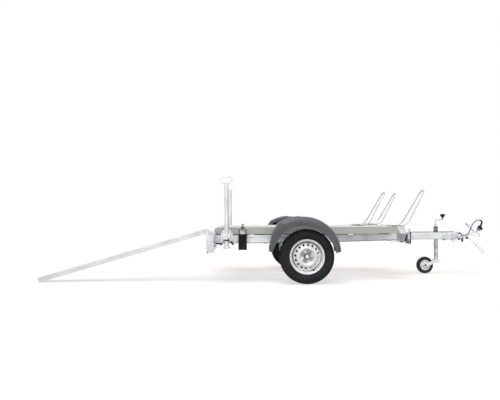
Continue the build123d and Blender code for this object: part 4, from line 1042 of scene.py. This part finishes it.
# jockey wheel: mushroom knob, grooved tyre, a dished wheel with ribs, axle nuts and a collar
jockeyLook = {"half": 25, "radius": 100, "shoulder": 80, "bead": 60, "grooves": (-9, 9),
              "grooveHalf": 1.5, "grooveEdge": 2.5, "grooveDepth": 3, "ribs": 6, "ribHalf": 2,
              "collar": 52, "lobes": 8, "lobeDepth": 0.06}


def makeJockey():
    look = jockeyLook
    low, high, middle = boxOf("jockey_knob")
    knob = [(0.5, -13), (7.5, -13), (8, 0), (9, 5), (12, 10), (19, 16), (25, 22), (27, 28),
            (27, 40), (25, 45), (20, 48), (17, 48), (15.5, 46.5), (0.5, 46.5)]
    makePiece("jockeyKnobTurned", [turned(knob, (middle[0], middle[1], low[2]), alongZ, 40)],
              "blackPlastic", body="jockey_mast", stands=["jockey_knob"], sharp=50)
    hub = boxOf("jockey_tyre")[2]
    half, rise = look["half"], look["radius"] - look["shoulder"]
    bow = (half ** 2 + rise ** 2) / (2 * rise)
    across, sunk = grooved(np.linspace(-half, half, 31), look)
    crown = look["radius"] - bow + np.sqrt(bow ** 2 - across ** 2) - sunk
    wall = [(70, 24), (66, 22.5), (look["bead"], 22)]
    line = np.vstack([np.stack([crown, across], -1), wall, np.multiply(wall[::-1], (1, -1))])
    makePiece("jockeyTyreGrooved", [turned(line, hub, steps=96)], "jockeyRubber",
              body="jockey_roller", stands=["jockey_tyre"], sharp=35)
    dish = [(59.8, 22), (54, 22), (51, 19), (44, 8), (26, 6), (16, 9), (14, 28), (6.2, 28)]
    shells = [turned(dish + [(r, -along) for r, along in dish[::-1]], hub, steps=72)]
    for index in range(look["ribs"]):
        turn = index / look["ribs"] * 2 * math.pi
        ahead = np.array([math.cos(turn), 0, math.sin(turn)])
        flank = np.array([-math.sin(turn), 0, math.cos(turn)]) * look["ribHalf"]
        for side in (-1, 1):
            shells.append(pushed([(12, 8), (48, 5), (50, 19), (14, 24)], hub - flank, ahead,
                                 alongY * side, flank * 2))
    makePiece("jockeyWheelRibbed", shells, "freshZinc", "jockey_zinc", "jockey_roller",
              ["jockey_wheel"])
    low, high = boxOf("jockey_fork")[:2]
    nuts = [*bolt((hub[0], low[1] + 4, hub[2]), -alongY, 10, 6),
            *bolt((hub[0], high[1] - 4, hub[2]), alongY, 10, 6)]
    makePiece("jockeyAxleNuts", nuts, "darkZinc", "jockey_zinc", "jockey_swivel_fork")
    low, high, middle = boxOf("jockey_outer_tube")
    tall = look["collar"]
    collar = [(24.2, 0), (26, 2), (26, tall - 2), (24.2, tall)]
    makePiece("jockeyCollar", [lobed(collar, (middle[0], middle[1], high[2] - tall), alongZ,
                                     look["lobes"], look["lobeDepth"])],
              "swingArmSteel", "jockey_zinc", "jockey_mast")


makeJockey()


# ramp: raised bars across its floor and a bead along each side
rampLook = {"foot": 2826, "head": 1017, "depth": 52, "top": 571, "middle": -455, "half": 100,
            "floor": 37.5, "bar": [(0, 0), (3, 3.4), (9, 3.4), (12, 0)], "barHalf": 94,
            "pitch": 74, "firstBar": 60, "lastBar": 110, "beads": (13, 38), "beadRadius": 1.6,
            "beadFrom": 25, "beadTo": 60}


def makeRamp():
    look = rampLook
    run = look["foot"] - look["head"]
    slant = math.hypot(run, look["top"])
    angle = math.atan2(look["top"], run) - math.asin(look["depth"] / slant)
    length = math.sqrt(slant ** 2 - look["depth"] ** 2)
    along = np.array([math.cos(angle), 0, math.sin(angle)])
    up = np.array([-math.sin(angle), 0, math.cos(angle)])
    foot = np.array([axleX - look["foot"], look["middle"], 0])
    half = alongY * look["barHalf"]
    start = foot + up * look["floor"] - half
    bars = [pushed(look["bar"], start + along * reach, along, up, half * 2)
            for reach in np.arange(look["firstBar"], length - look["lastBar"], look["pitch"])]
    makePiece("rampBars", bars, "rampAluminium", body="ramp_body")
    beads = []
    for side in (-1, 1):
        for height in look["beads"]:
            start = foot + up * height + alongY * side * look["half"]
            ends = [start + along * reach for reach in (look["beadFrom"], length - look["beadTo"])]
            beads.append(tube(ends, look["beadRadius"], 8))
    makePiece("rampBeads", beads, "rampAluminium", body="ramp_body")


makeRamp()


# plug in its holder, with a ribbed collar, a soft boot up the lead, and the lead's gland
plugLook = {"down": (-0.5, 0, -0.866), "ahead": (0.866, 0, -0.5), "sidePort": 34, "lobes": 8,
            "lobeDepth": 0.12, "boot": 86, "bootRadius": 10.5, "bootTip": 6, "gland": 22,
            "glandRadius": 10, "glandTip": 6.5}


def cordPoints(piece):
    # points along a cord's own smooth line, in millimetres
    bare = piece.data.copy()
    bare.bevel_depth = 0
    probe = bpy.data.objects.new("probe", bare)
    line = bpy.data.meshes.new_from_object(probe)
    points = np.empty(len(line.vertices) * 3)
    line.vertices.foreach_get("co", points)
    bpy.data.objects.remove(probe)
    bpy.data.meshes.remove(line)
    return points.reshape(-1, 3) / mm


def makePlug():
    look = plugLook
    top = np.array(leadPoints[-1]) / mm
    down, ahead = unit(look["down"]), unit(look["ahead"])
    barrel = [(0.5, -1), (10.5, -1), (11, 1), (13, 3), (12, 5.5), (15, 8), (14, 10), (18, 12),
              (22, 15), (23.5, 19), (23.5, 25), (21.5, 26.5), (21.5, 28.5), (23.5, 30), (23.5, 44),
              (20, 46), (19.2, 48), (19.2, 60), (0.5, 60)]
    port = [(12, 12), (12, 20), (14.5, 22), (14.5, 34), (12, 37), (0.5, 37.5)]
    shells = [turned(barrel, top, down, 48),
              lobed(port, top + down * look["sidePort"], ahead, look["lobes"], look["lobeDepth"])]
    plug = makePiece("plugBody", shells, "blackPlastic", stands=["plug"], sharp=35)
    line = cordPoints(lead)
    if np.linalg.norm(line[0] - top) < np.linalg.norm(line[-1] - top):
        line = line[::-1]
    back = lengthAlong(line[::-1])[::-1]
    gland = line[back[0] - back < look["gland"]]
    taper = np.linspace(look["glandRadius"], look["glandTip"], len(gland))
    makePiece("leadGland", [tube(gland, taper, 20, alongY)], "slotBlack", "cable_sheath")
    near = back < look["boot"]
    share = back[near] / look["boot"]
    radius = look["bootRadius"] + (look["bootTip"] - look["bootRadius"]) * share ** 2
    boot = makePiece("plugBoot", [tube(line[near], radius, 20, alongY)], "cableSheath")


makePlug()
print("chocks, lamps, bolts, bracket, jockey wheel, ramp and plug dressed")


# studio daylight: one wide soft light from above the camera's left shoulder, a weaker one
# from the front, and a little from all round
studio = {"high": {"strength": 2.4, "spread": 55, "from": (-0.3, -0.35, 1.0)},
          "front": {"strength": 0.95, "spread": 70, "from": (0.2, -1.0, 0.5)},
          "around": 0.19, "floorShade": 0.43, "floorGlow": (0.6, 0.592, 0.58), "floorReach": 14,
          "floorDrop": 0.0005}


def makeSun(name):
    look = studio[name]
    sun = setUp(bpy.data.lights.new(name + "Light", "SUN"), energy=look["strength"],
                angle=math.radians(look["spread"]))
    piece = placed(name + "Light", sun)
    piece.rotation_euler = Vector(look["from"]).to_track_quat("Z", "Y").to_euler()


def pureWhite(graph):
    # 1 for the rays that should meet plain white: straight, mirrored or through glass
    path = graph.add("ShaderNodeLightPath")
    total = path.of("Is Camera Ray") + path.of("Is Glossy Ray") + path.of("Is Transmission Ray")
    return total.math("MINIMUM", total, 1)


def makeWorld():
    world = bpy.data.worlds.new("studio")
    graph = Graph(world)
    strength = pureWhite(graph) * (1 - studio["around"]) + studio["around"]
    shade = graph.add("ShaderNodeBackground", {}, {"Color": (1, 1, 1, 1), "Strength": strength})
    graph.add("ShaderNodeOutputWorld", {}, {"Surface": shade})
    bpy.context.scene.world = world


def makeFloor():
    # matte, and glowing only for the rays that should meet plain white
    graph = Graph(bpy.data.materials.new("paleFloor"))
    matte = graph.add("ShaderNodeBsdfDiffuse", {}, {"Color": (*[studio["floorShade"]] * 3, 1)})
    glow = graph.add("ShaderNodeEmission", {}, {"Color": (*studio["floorGlow"], 1),
                                                "Strength": pureWhite(graph)})
    both = graph.add("ShaderNodeAddShader", {}, {0: matte, 1: glow})
    graph.add("ShaderNodeOutputMaterial", {}, {"Surface": both})
    mesh = bpy.data.meshes.new("floor")
    reach = studio["floorReach"]
    corners = [(x, y, -studio["floorDrop"]) for x, y in strip(-reach, reach, -reach, reach)]
    mesh.from_pydata(corners, [], [(0, 1, 2, 3)])
    mesh.materials.append(graph.owner)
    placed("floor", mesh)


makeSun("high")
makeSun("front")
makeWorld()
makeFloor()

# eye level with the rails, from the trailer's right, turned a little to the front
view = {"x": axleX * mm - 0.644, "y": -6.130, "z": 0.704, "lens": 37.4,
        "turn": -0.72, "tilt": 1.69, "roll": -0.3}
camera = placed("camera", bpy.data.cameras.new("camera"))
camera.data.lens = view["lens"]
camera.location = (view["x"], view["y"], view["z"])
turn, tilt, roll = (Matrix.Rotation(math.radians(angle), 4, axis) for angle, axis in
                    ((view["turn"], "Z"), (90 + view["tilt"], "X"), (view["roll"], "Z")))
aim = turn @ tilt @ roll
camera.rotation_euler = aim.to_euler()
bpy.context.scene.camera = camera
bpy.context.scene.view_settings.view_transform = "Standard"
print("studio ready")
